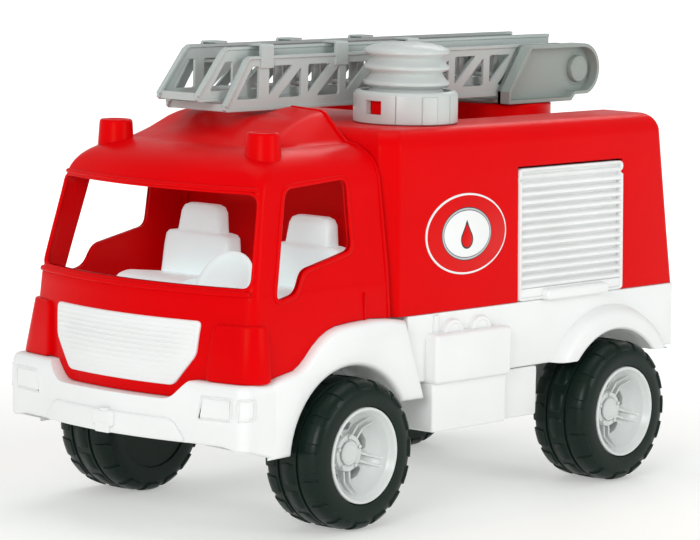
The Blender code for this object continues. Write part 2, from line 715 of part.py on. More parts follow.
def pump(materials):
    base = COLLAR_Z + 1.2
    crest, waist, skin = 25.7, 22.6, 1.6
    top = PUMP_TOP_Z
    outer = [(0, top), (22.5, top), (24.6, top - 1.2), (24.6, top - 3)]
    pitch = 9.4
    for i in range(4):
        z = top - 5 - pitch * i
        outer += [(waist, z), (crest, z - 3.4), (crest, z - 5.2)]
    outer += [(waist, base + 3.5), (25.5, base + 1.6), (25.5, base)]
    inner = [(20.5, base), (20.5, top - 3.5), (0, top - 3.5)]
    bellows = lathe(outer + inner, "z", PUMP_X, PUMP_Y, 24)
    add("pump_bellows", bellows, materials["grey"], (PUMP_X, PUMP_Y, base), 50)
    collar = [
        (27.5, COLLAR_Z), (31.3, COLLAR_Z), (31.3, COLLAR_Z + 16.5), (28.6, COLLAR_Z + 19.2),
        (27.6, COLLAR_Z + 19.2), (26.6, COLLAR_Z + 16),
    ]
    wall = lathe(collar, "z", PUMP_X, PUMP_Y, 28)
    obj = add("pump_collar", wall, materials["grey"], (PUMP_X, PUMP_Y, COLLAR_Z), 30)
    angle = math.radians(-100)
    window = hull([
        (PUMP_X + r * math.cos(angle + d), PUMP_Y + r * math.sin(angle + d), z)
        for r in (24, 40) for d in (-0.16, 0.16) for z in (COLLAR_Z + 5.5, COLLAR_Z + 14)
    ])
    alter(obj, window)
    valve = [(0, 213.0), (9.0, 213.0), (9.0, 219.0), (12.6, 219.0), (12.6, COLLAR_Z), (19.8, COLLAR_Z),
             (19.8, COLLAR_Z + 2.5), (4.0, COLLAR_Z + 2.5), (4.0, 216.0), (0, 216.0)]
    add("pump_valve", lathe(valve, "z", PUMP_X, PUMP_Y, 16), materials["white"], (PUMP_X, PUMP_Y, 220), 30)


# ---------------------------------------------------------------- build


def build():
    clear_scene()
    materials = {
        "red": plastic("red_plastic", (0.76, 0.005, 0.01), 0.28),
        "white": plastic("white_plastic", (0.87, 0.88, 0.88), 0.35),
        "grey": plastic("pale_grey_plastic", (0.63, 0.66, 0.65), 0.4),
        "ladder": plastic("ladder_grey_plastic", (0.43, 0.46, 0.43), 0.4),
        "cradle": plastic("dark_grey_plastic", (0.30, 0.34, 0.30), 0.42),
        "rim": plastic("rim_plastic", (0.72, 0.73, 0.73), 0.3),
        "tyre": plastic("tyre_plastic", (0.012, 0.022, 0.018), 0.45),
        "steel": plastic("zinc_steel", (0.6, 0.6, 0.58), 0.3, 1.0),
    }
    chassis(materials["white"])
    cab_shell(materials["red"])
    grille_panel(materials["white"])
    cab_seats(materials["white"])
    steering_wheel(materials["white"])
    body_box(materials["red"])
    shutters(materials)
    badges(materials["white"])
    body_screws(materials["steel"])
    axle_set(materials)
    wheels(materials)
    cradle(materials["cradle"])
    turntable_fixing(materials["steel"])
    pivot_pins(materials["cradle"])
    ladder_lower(materials["ladder"])
    ladder_upper(materials["ladder"])
    pump(materials)


build()
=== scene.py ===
"""Looks of the toy fire engine: moulded shells, tread, trusses, materials, floor, light and camera.

Lengths are in millimetres, with x to the truck's left, z up and y counted backwards from the middle
of the wheelbase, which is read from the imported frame. metres() turns a point into the frame's metres.
"""

import json
import math

import bmesh
import bpy
from mathutils import Matrix, Vector


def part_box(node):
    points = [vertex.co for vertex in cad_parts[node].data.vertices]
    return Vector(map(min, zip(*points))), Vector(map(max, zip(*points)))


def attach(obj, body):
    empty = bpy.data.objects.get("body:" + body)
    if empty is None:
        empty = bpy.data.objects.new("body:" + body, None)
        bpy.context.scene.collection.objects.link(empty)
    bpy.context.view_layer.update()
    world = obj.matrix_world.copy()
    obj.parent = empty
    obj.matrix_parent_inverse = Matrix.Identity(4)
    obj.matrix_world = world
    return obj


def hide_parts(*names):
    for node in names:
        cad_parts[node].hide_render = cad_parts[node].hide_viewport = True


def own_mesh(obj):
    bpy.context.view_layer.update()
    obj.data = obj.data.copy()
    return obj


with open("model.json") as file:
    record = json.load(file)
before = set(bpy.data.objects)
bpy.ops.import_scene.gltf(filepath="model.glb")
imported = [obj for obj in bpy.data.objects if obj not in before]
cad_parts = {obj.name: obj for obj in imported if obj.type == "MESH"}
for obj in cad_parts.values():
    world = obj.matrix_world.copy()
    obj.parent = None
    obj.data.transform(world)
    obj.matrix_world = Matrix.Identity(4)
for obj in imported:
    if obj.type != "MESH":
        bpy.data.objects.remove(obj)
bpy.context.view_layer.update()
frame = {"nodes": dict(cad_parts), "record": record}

SIDES = {"left": 1, "right": -1}
MM = 0.001


def middle(node):
    """The centre of a CAD node's box."""
    low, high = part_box(node)
    return (low + high) / 2


WHEELS = {f"{end}_{side}": middle(f"tyre_{end}_{side}") for end in ("front", "rear") for side in SIDES}
MIDDLE_Y = (WHEELS["front_left"].y + WHEELS["rear_left"].y) / 2

# Driving dimensions
AXLE_Y = (WHEELS["rear_left"].y - MIDDLE_Y) / MM
TYRE_R = WHEELS["front_left"].z / MM
TYRE_OUTER_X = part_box("tyre_front_left")[1].x / MM
TYRE_INNER_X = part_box("tyre_front_left")[0].x / MM
RIM_R = 28.0
ARCH_R = 50.3
REAR_ARCH = (AXLE_Y + 2.5, 43.0)
REAR_ARCH_R = 51.4
FENDER_X = 95.0
FENDER_FOOT_Z = 69.0
BUMPER_CORNER = 7.0
SILL_X = 88.0
SILL_Z = 117.8
SKIRT_Z = 78.0
SPINE_Z = 50.0
CAB_REAR_Y = -84.0
BUMPER_Y = -226.0
BOW = 0.00233
BOW_END_X = 60.0
BOX_LEAN = 0.0255
WALL = 2.5
FIT_GAP = 0.4
FRONT_STEPS = 24
ROOF_Z = 226.5
BOX_CHAMFER = 9.0
LADDER_X = middle("ladder_lower").x / MM
TURN_Y = 138.0
PIVOT_Y = 185.0
PIVOT_Z = 250.0
CRADLE_R = 16.5
BAYS = 8
BAY = 33.8
HOLE_GAP = 1.5
HOLE_BEND = 1.6
PUMP = middle("pump_bellows")
PUMP_X = PUMP.x / MM
PUMP_Y = (PUMP.y - MIDDLE_Y) / MM
PUMP_TOP_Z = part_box("pump_bellows")[1].z / MM
PUMP_FOOT_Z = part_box("pump_bellows")[0].z / MM
COLLAR_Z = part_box("pump_collar")[0].z / MM
SHUTTER_Y = (34.6, 136.4)
SHUTTER_Z = (118.2, 198.6)
HINGE_X = 83.0
HINGE_Z = 196.0
SWING_R = 4.6
BADGE_Y = -15.0
BADGE_Z = 163.0
BADGE_HALF = (37.0, 24.1)
BADGE_CENTRE = (22.4, 15.4)
TREAD_COUNT = 16
PAD_SHARES = (-1.0, -0.9, -0.45, 0.0, 0.45, 0.9, 1.0)
PAD_SINK = 1.2
PAD_TAPER_ROWS = 1.6
TYRE_CORE = Vector((30.0, TYRE_OUTER_X - 14.0))
HUB_X = 70.0
BOLT_R = 9.3
RIB_OFFSET = 2.3


# ---------------------------------------------------------------- shape helpers


def metres(point):
    """A point in millimetres about the middle of the wheelbase, in the frame's metres."""
    x, y, z = point
    return Vector((x * MM, y * MM + MIDDLE_Y, z * MM))


def place(axis, u, v, w):
    """A point from plane coordinates (u, v) and distance w along the axis."""
    return {"x": (w, u, v), "y": (u, w, v), "z": (u, v, w)}[axis]


def tidy(bm):
    """Turns every face of a closed shape outwards."""
    bmesh.ops.recalc_face_normals(bm, faces=bm.faces[:])
    if bm.calc_volume(signed=True) < 0:
        bmesh.ops.reverse_faces(bm, faces=bm.faces[:])
    return bm


def hull(points):
    bm = bmesh.new()
    for point in points:
        bm.verts.new(metres(point))
    made = bmesh.ops.convex_hull(bm, input=bm.verts[:])
    inside = [item for item in made["geom_interior"] if isinstance(item, bmesh.types.BMVert)]
    bmesh.ops.delete(bm, geom=inside, context="VERTS")
    bmesh.ops.dissolve_limit(bm, angle_limit=0.001, verts=bm.verts[:], edges=bm.edges[:])
    return tidy(bm)


def box(low, high):
    return hull([(x, y, z) for x in (low[0], high[0]) for y in (low[1], high[1]) for z in (low[2], high[2])])


def rectangle(u1, u2, v1, v2):
    """The corners of an upright rectangle, anticlockwise."""
    return [(u1, v1), (u2, v1), (u2, v2), (u1, v2)]


def loft(rings, closed=False):
    """A solid through rings of equal length; closed joins the last ring to the first."""
    bm = bmesh.new()
    loops = [[bm.verts.new(metres(point)) for point in points] for points in rings]
    pairs = list(zip(loops, loops[1:]))
    if closed:
        pairs.append((loops[-1], loops[0]))
    for lower, upper in pairs:
        for i in range(len(lower)):
            bm.faces.new((lower[i - 1], lower[i], upper[i], upper[i - 1]))
    if not closed:
        bm.faces.new(reversed(loops[0]))
        bm.faces.new(loops[-1])
    return tidy(bm)


def plate(outline, axis, low, high, edge=0.0):
    """A flat outline given thickness along an axis, its high face drawn in by edge to round it."""
    rings = [[place(axis, u, v, low) for u, v in outline]]
    if not edge:
        rings.append([place(axis, u, v, high) for u, v in outline])
        return loft(rings)
    depth = math.copysign(edge, high - low)
    for t in (0.0, 0.3, 0.7, 1.0):
        inset = edge * (1 - math.cos(t * math.pi / 2))
        height = high - depth + depth * math.sin(t * math.pi / 2)
        rings.append([place(axis, u, v, height) for u, v in grown(outline, -inset)])
    return loft(rings)


def pierced(outline, axis, low, high, holes):
    """A flat outline with holes, given thickness along an axis."""
    bm = bmesh.new()
    loops = []
    for points in (outline, *holes):
        loop = [bm.verts.new(metres(place(axis, u, v, low))) for u, v in points]
        for i in range(len(loop)):
            bm.edges.new((loop[i - 1], loop[i]))
        loops.append(loop)
    made = bmesh.ops.triangle_fill(bm, edges=bm.edges[:], use_beauty=True)
    caps = [item for item in made["geom"] if isinstance(item, bmesh.types.BMFace)]
    raised = {}
    for points, loop in zip((outline, *holes), loops):
        for (u, v), vert in zip(points, loop):
            raised[vert] = bm.verts.new(metres(place(axis, u, v, high)))
    for face in caps:
        bm.faces.new([raised[vert] for vert in face.verts])
    for loop in loops:
        for i in range(len(loop)):
            a, b = loop[i - 1], loop[i]
            bm.faces.new((a, b, raised[b], raised[a]))
    return tidy(bm)


def arc(cu, cv, radius, start, end, steps):
    angles = [math.radians(start + (end - start) * i / steps) for i in range(steps + 1)]
    return [(cu + radius * math.cos(a), cv + radius * math.sin(a)) for a in angles]


def circle(cu, cv, radius, steps):
    return arc(cu, cv, radius, 0, 360, steps)[:-1]


def rod(axis, cu, cv, radius, low, high, steps=24):
    return loft([[place(axis, u, v, w) for u, v in circle(cu, cv, radius, steps)] for w in (low, high)])


def lathe(profile, axis, cu, cv, steps=72):
    """A closed (radius, height) profile turned about an axis through (cu, cv)."""
    bm = bmesh.new()
    turns = []
    for radius, height in profile:
        if radius == 0:
            turns.append([bm.verts.new(metres(place(axis, cu, cv, height)))] * steps)
            continue
        points = [place(axis, u, v, height) for u, v in circle(cu, cv, radius, steps)]
        turns.append([bm.verts.new(metres(point)) for point in points])
    for i in range(len(turns)):
        first, second = turns[i - 1], turns[i]
        if first[0] is first[1] and second[0] is second[1]:
            continue
        for k in range(steps):
            corners = [first[k - 1], first[k], second[k], second[k - 1]]
            bm.faces.new(list(dict.fromkeys(corners)))
    return tidy(bm)


def side_lathe(profile, centre, sign, steps, x=0.0):
    """A (radius, distance) profile turned about an axis along x, running to the left or the right of x."""
    return lathe([(radius, x + sign * distance) for radius, distance in profile], "x", *centre, steps)


def rounded(points, radius, steps=5):
    """The outline with each corner replaced by a smooth bend that starts radius away from it."""
    made = []
    for i, point in enumerate(points):
        here = Vector(point)
        before = Vector(points[i - 1]) - here
        after = Vector(points[(i + 1) % len(points)]) - here
        reach_in = min(radius, before.length * 0.48)
        reach_out = min(radius, after.length * 0.48)
        start = here + before.normalized() * reach_in
        end = here + after.normalized() * reach_out
        for k in range(steps + 1):
            t = k / steps
            bend = start * (1 - t) ** 2 + here * 2 * t * (1 - t) + end * t * t
            made.append((bend.x, bend.y))
    return made


def grown(points, distance):
    """The outline moved outwards by a distance, whichever way round it runs."""
    area = sum(a[0] * b[1] - b[0] * a[1] for a, b in zip(points, points[1:] + points[:1]))
    out = distance if area > 0 else -distance
    made = []
    for i, (u, v) in enumerate(points):
        before = Vector((u, v)) - Vector(points[i - 1])
        after = Vector(points[(i + 1) % len(points)]) - Vector((u, v))
        along = before.normalized() + after.normalized()
        if along.length < 1e-6:
            along = after
        along.normalize()
        share = max(0.5, abs(along.dot(after.normalized())))
        made.append((u + along.y * out / share, v - along.x * out / share))
    return made


def band(inner, outer, axis, low, high):
    """A flat ring between two outlines with the same number of points."""
    rings = []
    for outline, height in ((inner, low), (outer, low), (outer, high), (inner, high)):
        rings.append([place(axis, u, v, height) for u, v in outline])
    return loft(rings, closed=True)


def ring(outline, width, axis, low, high):
    """A raised line with a rounded top, running outwards from an outline."""
    brow = high * 0.45
    section = [(0.0, low), (1.0, low), (1.0, brow), (0.72, high), (0.28, high), (0.0, brow)]
    rings = [[place(axis, u, v, height) for u, v in grown(outline, width * out)] for out, height in section]
    return loft(rings, closed=True)


def between(p, q, r, s, t):
    """The Catmull-Rom value a share t of the way from q to r."""
    bend = (2 * p - 5 * q + 4 * r - s) * t * t
    return 0.5 * (2 * q + (r - p) * t + bend + (3 * q - p - 3 * r + s) * t ** 3)


def curve_through(rows, steps):
    """Catmull-Rom rows between the given rows of numbers."""
    made = []
    for i in range(len(rows) - 1):
        near = [rows[max(0, i - 1)], rows[i], rows[i + 1], rows[min(len(rows) - 1, i + 2)]]
        for k in range(steps):
            made.append(tuple(between(*values, k / steps) for values in zip(*near)))
    made.append(tuple(rows[-1]))
    return made


def smooth_rings(rings, steps):
    """Rings added between the given ones along smooth curves."""
    flat = [[value for point in one for value in point] for one in rings]
    made = []
    for row in curve_through(flat, steps):
        made.append([tuple(row[i:i + 3]) for i in range(0, len(row), 3)])
    return made


def mirrored(bm):
    copy = bm.copy()
    for vert in copy.verts:
        vert.co.x = -vert.co.x
    return tidy(copy)


def join(*shapes):
    """Shapes held in one mesh."""
    whole = bmesh.new()
    for shape in shapes:
        mesh = bpy.data.meshes.new("join")
        shape.to_mesh(mesh)
        whole.from_mesh(mesh)
        bpy.data.meshes.remove(mesh)
    return whole


def both(*shapes):
    whole = join(*shapes)
    return join(whole, mirrored(whole))


def sided(bm, sign):
    """The left-hand shape, or its mirror image for the right side."""
    return bm if sign > 0 else mirrored(bm)


def moved(bm, shift):
    """Every vertex moved by shift(x, y, z), in millimetres."""
    for vert in bm.verts:
        x, y, z = vert.co.x / MM, (vert.co.y - MIDDLE_Y) / MM, vert.co.z / MM
        vert.co = metres(shift(x, y, z))
    return tidy(bm)


def sliced(bm, step):
    """Cuts a shape across at every step along x, so that it can be bent."""
    reach = int(max(abs(vert.co.x) for vert in bm.verts) / MM / step)
    for i in range(-reach, reach + 1):
        geom = bm.verts[:] + bm.edges[:] + bm.faces[:]
        bmesh.ops.bisect_plane(bm, geom=geom, dist=1e-7, plane_co=(i * step * MM, 0, 0), plane_no=(1, 0, 0))
    return bm


def scene_object(name, bm):
    mesh = bpy.data.meshes.new(name)
    bm.to_mesh(mesh)
    obj = bpy.data.objects.new(name, mesh)
    bpy.context.scene.collection.objects.link(obj)
    return obj


ADD = "UNION"
CUT = "DIFFERENCE"


def combine(base, steps):
    """The base shape after a list of (ADD or CUT, shape) Booleans, as a new bmesh."""
    obj = scene_object("combine", base)
    helpers = []
    for operation, shape in steps:
        helper = scene_object("helper", shape)
        modifier = obj.modifiers.new(operation, "BOOLEAN")
        modifier.operation = operation
        modifier.solver = "EXACT"
        modifier.object = helper
        helpers.append(helper)
    graph = bpy.context.evaluated_depsgraph_get()
    mesh = bpy.data.meshes.new_from_object(obj.evaluated_get(graph))
    result = bmesh.new()
    result.from_mesh(mesh)
    for helper in (obj, *helpers):
        bpy.data.objects.remove(helper)
    bmesh.ops.remove_doubles(result, verts=result.verts[:], dist=0.00002)
    bmesh.ops.dissolve_limit(result, angle_limit=0.002, verts=result.verts[:], edges=result.edges[:])
    return result


def piece(name, bm, finish, body, replaces=(), smooth=38, bevel=0.0):
    """A finished visual piece on its body, with its material and the CAD nodes it stands for."""
    obj = scene_object(name, bm)
    obj.data.materials.append(MATERIALS[finish])
    obj.data.shade_smooth()
    obj.data.set_sharp_from_angle(angle=math.radians(smooth))
    if bevel:
        modifier = obj.modifiers.new("Bevel", "BEVEL")
        modifier.width = bevel * MM
        modifier.segments = 3
        modifier.limit_method = "ANGLE"
        modifier.angle_limit = math.radians(35)
        modifier.harden_normals = True
    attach(obj, body)
    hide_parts(*replaces)
    return obj


# ---------------------------------------------------------------- materials


def node_tree(name):
    material = bpy.data.materials.new(name)
    material.use_nodes = True
    tree = material.node_tree
    return material, tree, tree.nodes["Principled BSDF"]


def set_inputs(node, values):
    """Sets inputs of a shader node by their names."""
    for name, value in values.items():
        node.inputs[name].default_value = value


def noise(tree, scale, detail=3.0):
    """Noise over the frame's own coordinates; scale is in waves to the metre."""
    where = tree.nodes.new("ShaderNodeTexCoord")
    texture = tree.nodes.new("ShaderNodeTexNoise")
    set_inputs(texture, {"Scale": scale, "Detail": detail})
    tree.links.new(where.outputs["Object"], texture.inputs["Vector"])
    return texture.outputs["Fac"]


def spread(tree, value, low, high, source=(0.3, 0.7)):
    """Maps a value, such as noise that keeps to the middle of 0 to 1, onto low to high."""
    node = tree.nodes.new("ShaderNodeMapRange")
    set_inputs(node, {"From Min": source[0], "From Max": source[1], "To Min": low, "To Max": high})
    tree.links.new(value, node.inputs["Value"])
    return node.outputs["Result"]


def bump(tree, height, distance, normal=None):
    node = tree.nodes.new("ShaderNodeBump")
    set_inputs(node, {"Distance": distance * MM})
    tree.links.new(height, node.inputs["Height"])
    if normal:
        tree.links.new(normal, node.inputs["Normal"])
    return node.outputs["Normal"]


def moulded(name, colour, roughness, grain=0.004, sink=0.01, edge=0.8, sheen=(1, 1, 1), level=0.5, glow=0.0):
    """Injection-moulded plastic: fine tool grain, slight sink marks, soft edges and uneven gloss; glow, where
    given, adds a painted glow in the plastic's own colour.
    """
    material, tree, shader = node_tree(name)
    shade = tree.nodes.new("ShaderNodeMix")
    shade.data_type = "RGBA"
    set_inputs(shade, {"A": (*[c * 0.96 for c in colour], 1), "B": (*colour, 1)})
    tree.links.new(spread(tree, noise(tree, 22), 0.0, 1.0), shade.inputs["Factor"])
    tree.links.new(shade.outputs["Result"], shader.inputs["Base Color"])
    gloss = spread(tree, noise(tree, 140), roughness * 0.92, roughness * 1.1)
    tree.links.new(gloss, shader.inputs["Roughness"])
    corners = tree.nodes.new("ShaderNodeBevel")
    corners.samples = 6
    set_inputs(corners, {"Radius": edge * MM})
    waves = bump(tree, noise(tree, 26, 1.0), sink, corners.outputs["Normal"])
    fine = bump(tree, noise(tree, 2600, 2.0), grain, waves)
    tree.links.new(fine, shader.inputs["Normal"])
    set_inputs(shader, {"Specular Tint": (*sheen, 1), "Specular IOR Level": level})
    # glow is a painted glow: emission in the plastic's own colour, with no lamp behind it.
    set_inputs(shader, {"Emission Color": (*colour, 1), "Emission Strength": glow})
    return material


def plated(name, colour, roughness):
    """Zinc-plated steel with fine turning marks."""
    material, tree, shader = node_tree(name)
    set_inputs(shader, {"Base Color": (*colour, 1), "Metallic": 1.0})
    gloss = spread(tree, noise(tree, 900), roughness * 0.8, roughness * 1.3)
    tree.links.new(gloss, shader.inputs["Roughness"])
    tree.links.new(bump(tree, noise(tree, 3500), 0.01), shader.inputs["Normal"])
    return material


PLASTICS = [
    ("white_plastic", (0.82, 0.835, 0.83), 0.36, {"level": 0.35}),
    # The seat plastic has a painted glow: emission of 0.3 in its own colour brightens the seats and steering
    # wheel as painted light.
    ("seat_white_painted_glow", (0.74, 0.88, 0.88), 0.4, {"level": 0.3, "glow": 0.3}),
    ("pale_grey_plastic", (0.52, 0.56, 0.545), 0.36, {}),
    ("ladder_grey_plastic", (0.45, 0.505, 0.49), 0.36, {"edge": 0.6}),
    ("dark_grey_plastic", (0.29, 0.34, 0.315), 0.38, {"edge": 0.6}),
    ("rim_plastic", (0.66, 0.69, 0.68), 0.3, {"edge": 0.5}),
    ("tyre_plastic", (0.003, 0.012, 0.008), 0.34, {"edge": 0.5, "level": 0.2}),
    ("badge_black", (0.02, 0.02, 0.022), 0.35, {"edge": 0.2, "level": 0.3}),
    ("badge_red", (0.66, 0.004, 0.006), 0.3, {"edge": 0.2, "sheen": (1.0, 0.2, 0.05), "level": 0.22}),
    ("badge_silver", (0.50, 0.52, 0.53), 0.3, {"edge": 0.2}),
]
RED_LOOK = {"grain": 0.0015, "sink": 0.004, "sheen": (1.0, 0.5, 0.28), "level": 0.06}
MATERIALS = {
    "red_plastic": moulded("red_plastic", (0.68, 0.001, 0.003), 0.3, **RED_LOOK),
    "zinc_steel": plated("zinc_steel", (0.62, 0.62, 0.60), 0.3),
    **{name: moulded(name, colour, roughness, **look) for name, colour, roughness, look in PLASTICS},
}


# ---------------------------------------------------------------- shared outlines


def bowed_y(centre_y, x):
    """The front surface's y at a sideways distance x: the middle stands proudest."""
    return centre_y + BOW * x * x


def bend_points(front, half, corner, steps=8):
    """The rounded corner of a plan outline, from its front to its side."""
    start = half - corner
    points = []
    for i in range(steps + 1):
        t = 1 - i / steps
        y = (front(half) + corner) * (1 - t) ** 2 + 2 * front(half) * t * (1 - t) + front(start) * t * t
        points.append((half - corner * t * t, y))
    return points


def plan_path(front, half, corner, side_y):
    """A plan outline from the left side, round the front where y is front(x), to the right side."""
    left = [(half, side_y), *reversed(bend_points(front, half, corner))]
    start = half - corner
    front_x = [start * (1 - 2 * i / FRONT_STEPS) for i in range(1, FRONT_STEPS)]
    right = [(-x, y) for x, y in reversed(left)]
    return [*left, *[(x, front(x)) for x in front_x], *right]


def cab_rows():
    """(z, half width, front y at the centre, corner size) up the cab, closely spaced."""
    rows = [
        (80.0, 89.0, -217.8, 7.0), (100.0, 88.8, -217.4, 7.0), (118.0, 88.3, -216.6, 7.0),
        (130.0, 87.6, -215.2, 6.0), (137.6, 87.0, -214.2, 5.0), (141.2, 86.4, -213.1, 4.2),
        (147.0, 85.7, -211.7, 4.0), (158.0, 84.3, -208.8, 4.0), (174.0, 82.0, -204.6, 4.0),
        (188.0, 80.1, -201.0, 4.0), (197.0, 79.0, -198.8, 4.5), (203.0, 77.4, -196.4, 7.0),
        (208.0, 74.6, -192.6, 11.0), (212.0, 70.6, -187.0, 15.0), (215.2, 65.0, -179.0, 18.0),
        (217.6, 57.5, -168.0, 20.0), (218.6, 50.0, -155.0, 20.0),
    ]
    return curve_through(rows, 3)


def along_rows(rows, z, column):
    """A column of rows interpolated at height z."""
    for low, high in zip(rows, rows[1:]):
        if z <= high[0]:
            t = max(0.0, (z - low[0]) / (high[0] - low[0]))
            return low[column] + (high[column] - low[column]) * t
    return rows[-1][column]


CAB = cab_rows()


def cab_half(z):
    return along_rows(CAB, z, 1)


def on_wall(bm, wall):
    """Bends a flat shape round an upright wall: x runs along the wall and y stands off from it."""

    def shift(x, y, z):
        front, half, corner = wall(z)
        points = bend_points(front, half, corner)
        points.append((half, points[-1][1] + 60))
        left = abs(x) - points[0][0]
        if left <= 0:
            here = Vector((abs(x), front(abs(x))))
            along = Vector((1, front(abs(x) + 0.5) - front(abs(x) - 0.5))).normalized()
        else:
            for a, b in zip(points, points[1:]):
                if left <= math.dist(a, b):
                    break
                left -= math.dist(a, b)
            along = (Vector(b) - Vector(a)).normalized()
            here = Vector(a) + along * left
        spot = here + Vector((along.y, -along.x)) * y
        return (math.copysign(spot.x, x), spot.y, z)

    return moved(bm, shift)


def cab_wall(z):
    """The cab's bowed front at height z, its half width and its corner's size."""
    front_y = along_rows(CAB, z, 2)
    return (lambda x: bowed_y(front_y, x)), cab_half(z), along_rows(CAB, z, 3)


def bumper_front(x):
    """The bumper face's y: a bow that flattens out towards the lamps."""
    return BUMPER_Y + BOW * min(abs(x), BOW_END_X) ** 2 + 0.13 * max(0.0, abs(x) - BOW_END_X)


def bumper_wall(z):
    """The bumper's face, the same at every height."""
    return bumper_front, FENDER_X, BUMPER_CORNER


def box_half(z):
    """The equipment box's half width at height z."""
    return SILL_X - (z - SILL_Z) * BOX_LEAN


def fender_outline(offset=0.0):
    """The front fender seen from the side as (y, z), its top edge raised by offset."""
    top = [
        (-190, 90.8), (-178, 93.4), (-166.5, 95.4), (-161.5, 98.2), (-157, 101.8), (-151, 107.6),
        (-144.5, 112.4), (-138, 115.6), (-131, 117.6), (-118, 118.7), (-101, 119.4), (-88, 118.6),
        (-75, 116.8),
    ]
    raised = [(u, v + offset) for u, v in top]
    start = math.degrees(math.asin((FENDER_FOOT_Z - TYRE_R) / ARCH_R))
    opening = arc(-AXLE_Y, TYRE_R, ARCH_R, start, 176, 28)
    return [(-190 - offset, 47), *raised, (-57 + offset, FENDER_FOOT_Z), *opening]


# ---------------------------------------------------------------- wheels


def tread_block(path, angle, half_angle, taper, height, centre, sign):
    """A raised pad that follows path, a list of (radius, x), with narrower ends and sloped edges."""
    bm = bmesh.new()
    rows = []
    last = len(path) - 1
    for i, (radius, x) in enumerate(path):
        end = min(i, last - i)
        width = half_angle * (1 - taper * (1 - min(1.0, end / PAD_TAPER_ROWS)))
        run = (Vector(path[min(last, i + 1)]) - Vector(path[max(0, i - 1)])).normalized()
        out = Vector((-run.y, run.x))
        if out.dot(Vector((radius, x)) - TYRE_CORE) < 0:
            out = -out
        row = []
        for k, share in enumerate(PAD_SHARES):
            lift = -PAD_SINK if k in (0, 6) or i in (0, last) else height
            r, w = radius + out.x * lift, x + out.y * lift
            turn = angle + width * share
            spot = (sign * w, centre[0] + r * math.cos(turn), centre[1] + r * math.sin(turn))
            row.append(bm.verts.new(metres(spot)))
        rows.append(row)
    for low, high in zip(rows, rows[1:]):
        for k in range(6):
            bm.faces.new((low[k], low[k + 1], high[k + 1], high[k]))
    bmesh.ops.recalc_face_normals(bm, faces=bm.faces[:])
    probe = max(bm.faces, key=lambda face: face.calc_area())
    hub = metres((sign * HUB_X, *centre))
    if probe.normal.dot(probe.calc_center_median() - hub) < 0:
        bmesh.ops.reverse_faces(bm, faces=bm.faces[:])
    return bm


def carcass():
    """The tyre's turned profile as (radius, x), with two tread grooves and a closed inner face."""
    outer = [
        (RIM_R + 0.2, 103.4), (28.8, 104.6), (32.0, 105.0), (36.0, 104.8), (39.2, 103.8), (41.4, 101.8),
        (42.6, 98.8), (43.0, 95.4),
    ]
    tread = [
        (43.2, 92.6), (42.0, 92.2), (42.0, 91.0), (43.3, 90.6), (43.4, 84.5), (43.3, 78.4), (42.0, 78.0),
        (42.0, 76.8), (43.2, 76.4),
    ]
    inner = [
        (43.0, 73.6), (42.6, 70.2), (41.4, 67.2), (39.2, 65.2), (36.0, 64.2), (32.0, 64.0), (28.8, 64.4),
        (28.4, 65.6),
    ]
    web = [(6.0, 65.6), (6.0, 67.4), (RIM_R + 0.2, 67.4)]
    return outer + tread + inner + web


def shoulder_path():
    """The centre line of a shoulder pad from sidewall to tread."""
    rows = [(37.6, 104.3), (40.1, 103.0), (41.9, 100.2), (42.5, 96.4), (42.6, 93.0)]
    return [(r, x) for r, x in curve_through(rows, 2)]


def spoke_rib(along, offset, centre, sign):
    """One thin rib from the hub out to the rim's step, in two straight runs."""
    across = offset.normalized()
    corners = []
    for reach, x, half in ((10.4, 91.0, 0.75), (17.5, 91.6, 0.7), (23.7, 98.4, 0.65)):
        for side in (-half, half):
            spot = along * reach + offset + across * side
            for depth in (0.0, 5.0):
                corners.append((sign * (x - depth), centre[0] + spot.x, centre[1] + spot.y))
    return [hull(corners[:8]), hull(corners[4:])]


def tyre(centre, sign):
    """The carcass with pads on both shoulders and a row of crown pads half a pitch on."""
    pitch = 2 * math.pi / TREAD_COUNT
    outer = shoulder_path()
    inner = [(r, TYRE_OUTER_X + TYRE_INNER_X - x) for r, x in outer]
    crown = [(43.3, x) for x in (90.2, 88.6, 84.5, 80.4, 78.8)]
    shapes = [side_lathe(carcass(), centre, sign, 96)]
    for i in range(TREAD_COUNT):
        angle = pitch * i
        for path in (outer, inner):
            shapes.append(tread_block(path, angle, pitch * 0.37, 0.32, 1.2, centre, sign))
        shapes.append(tread_block(crown, angle + pitch / 2, pitch * 0.43, 0.22, 0.6, centre, sign))
    return join(*shapes)


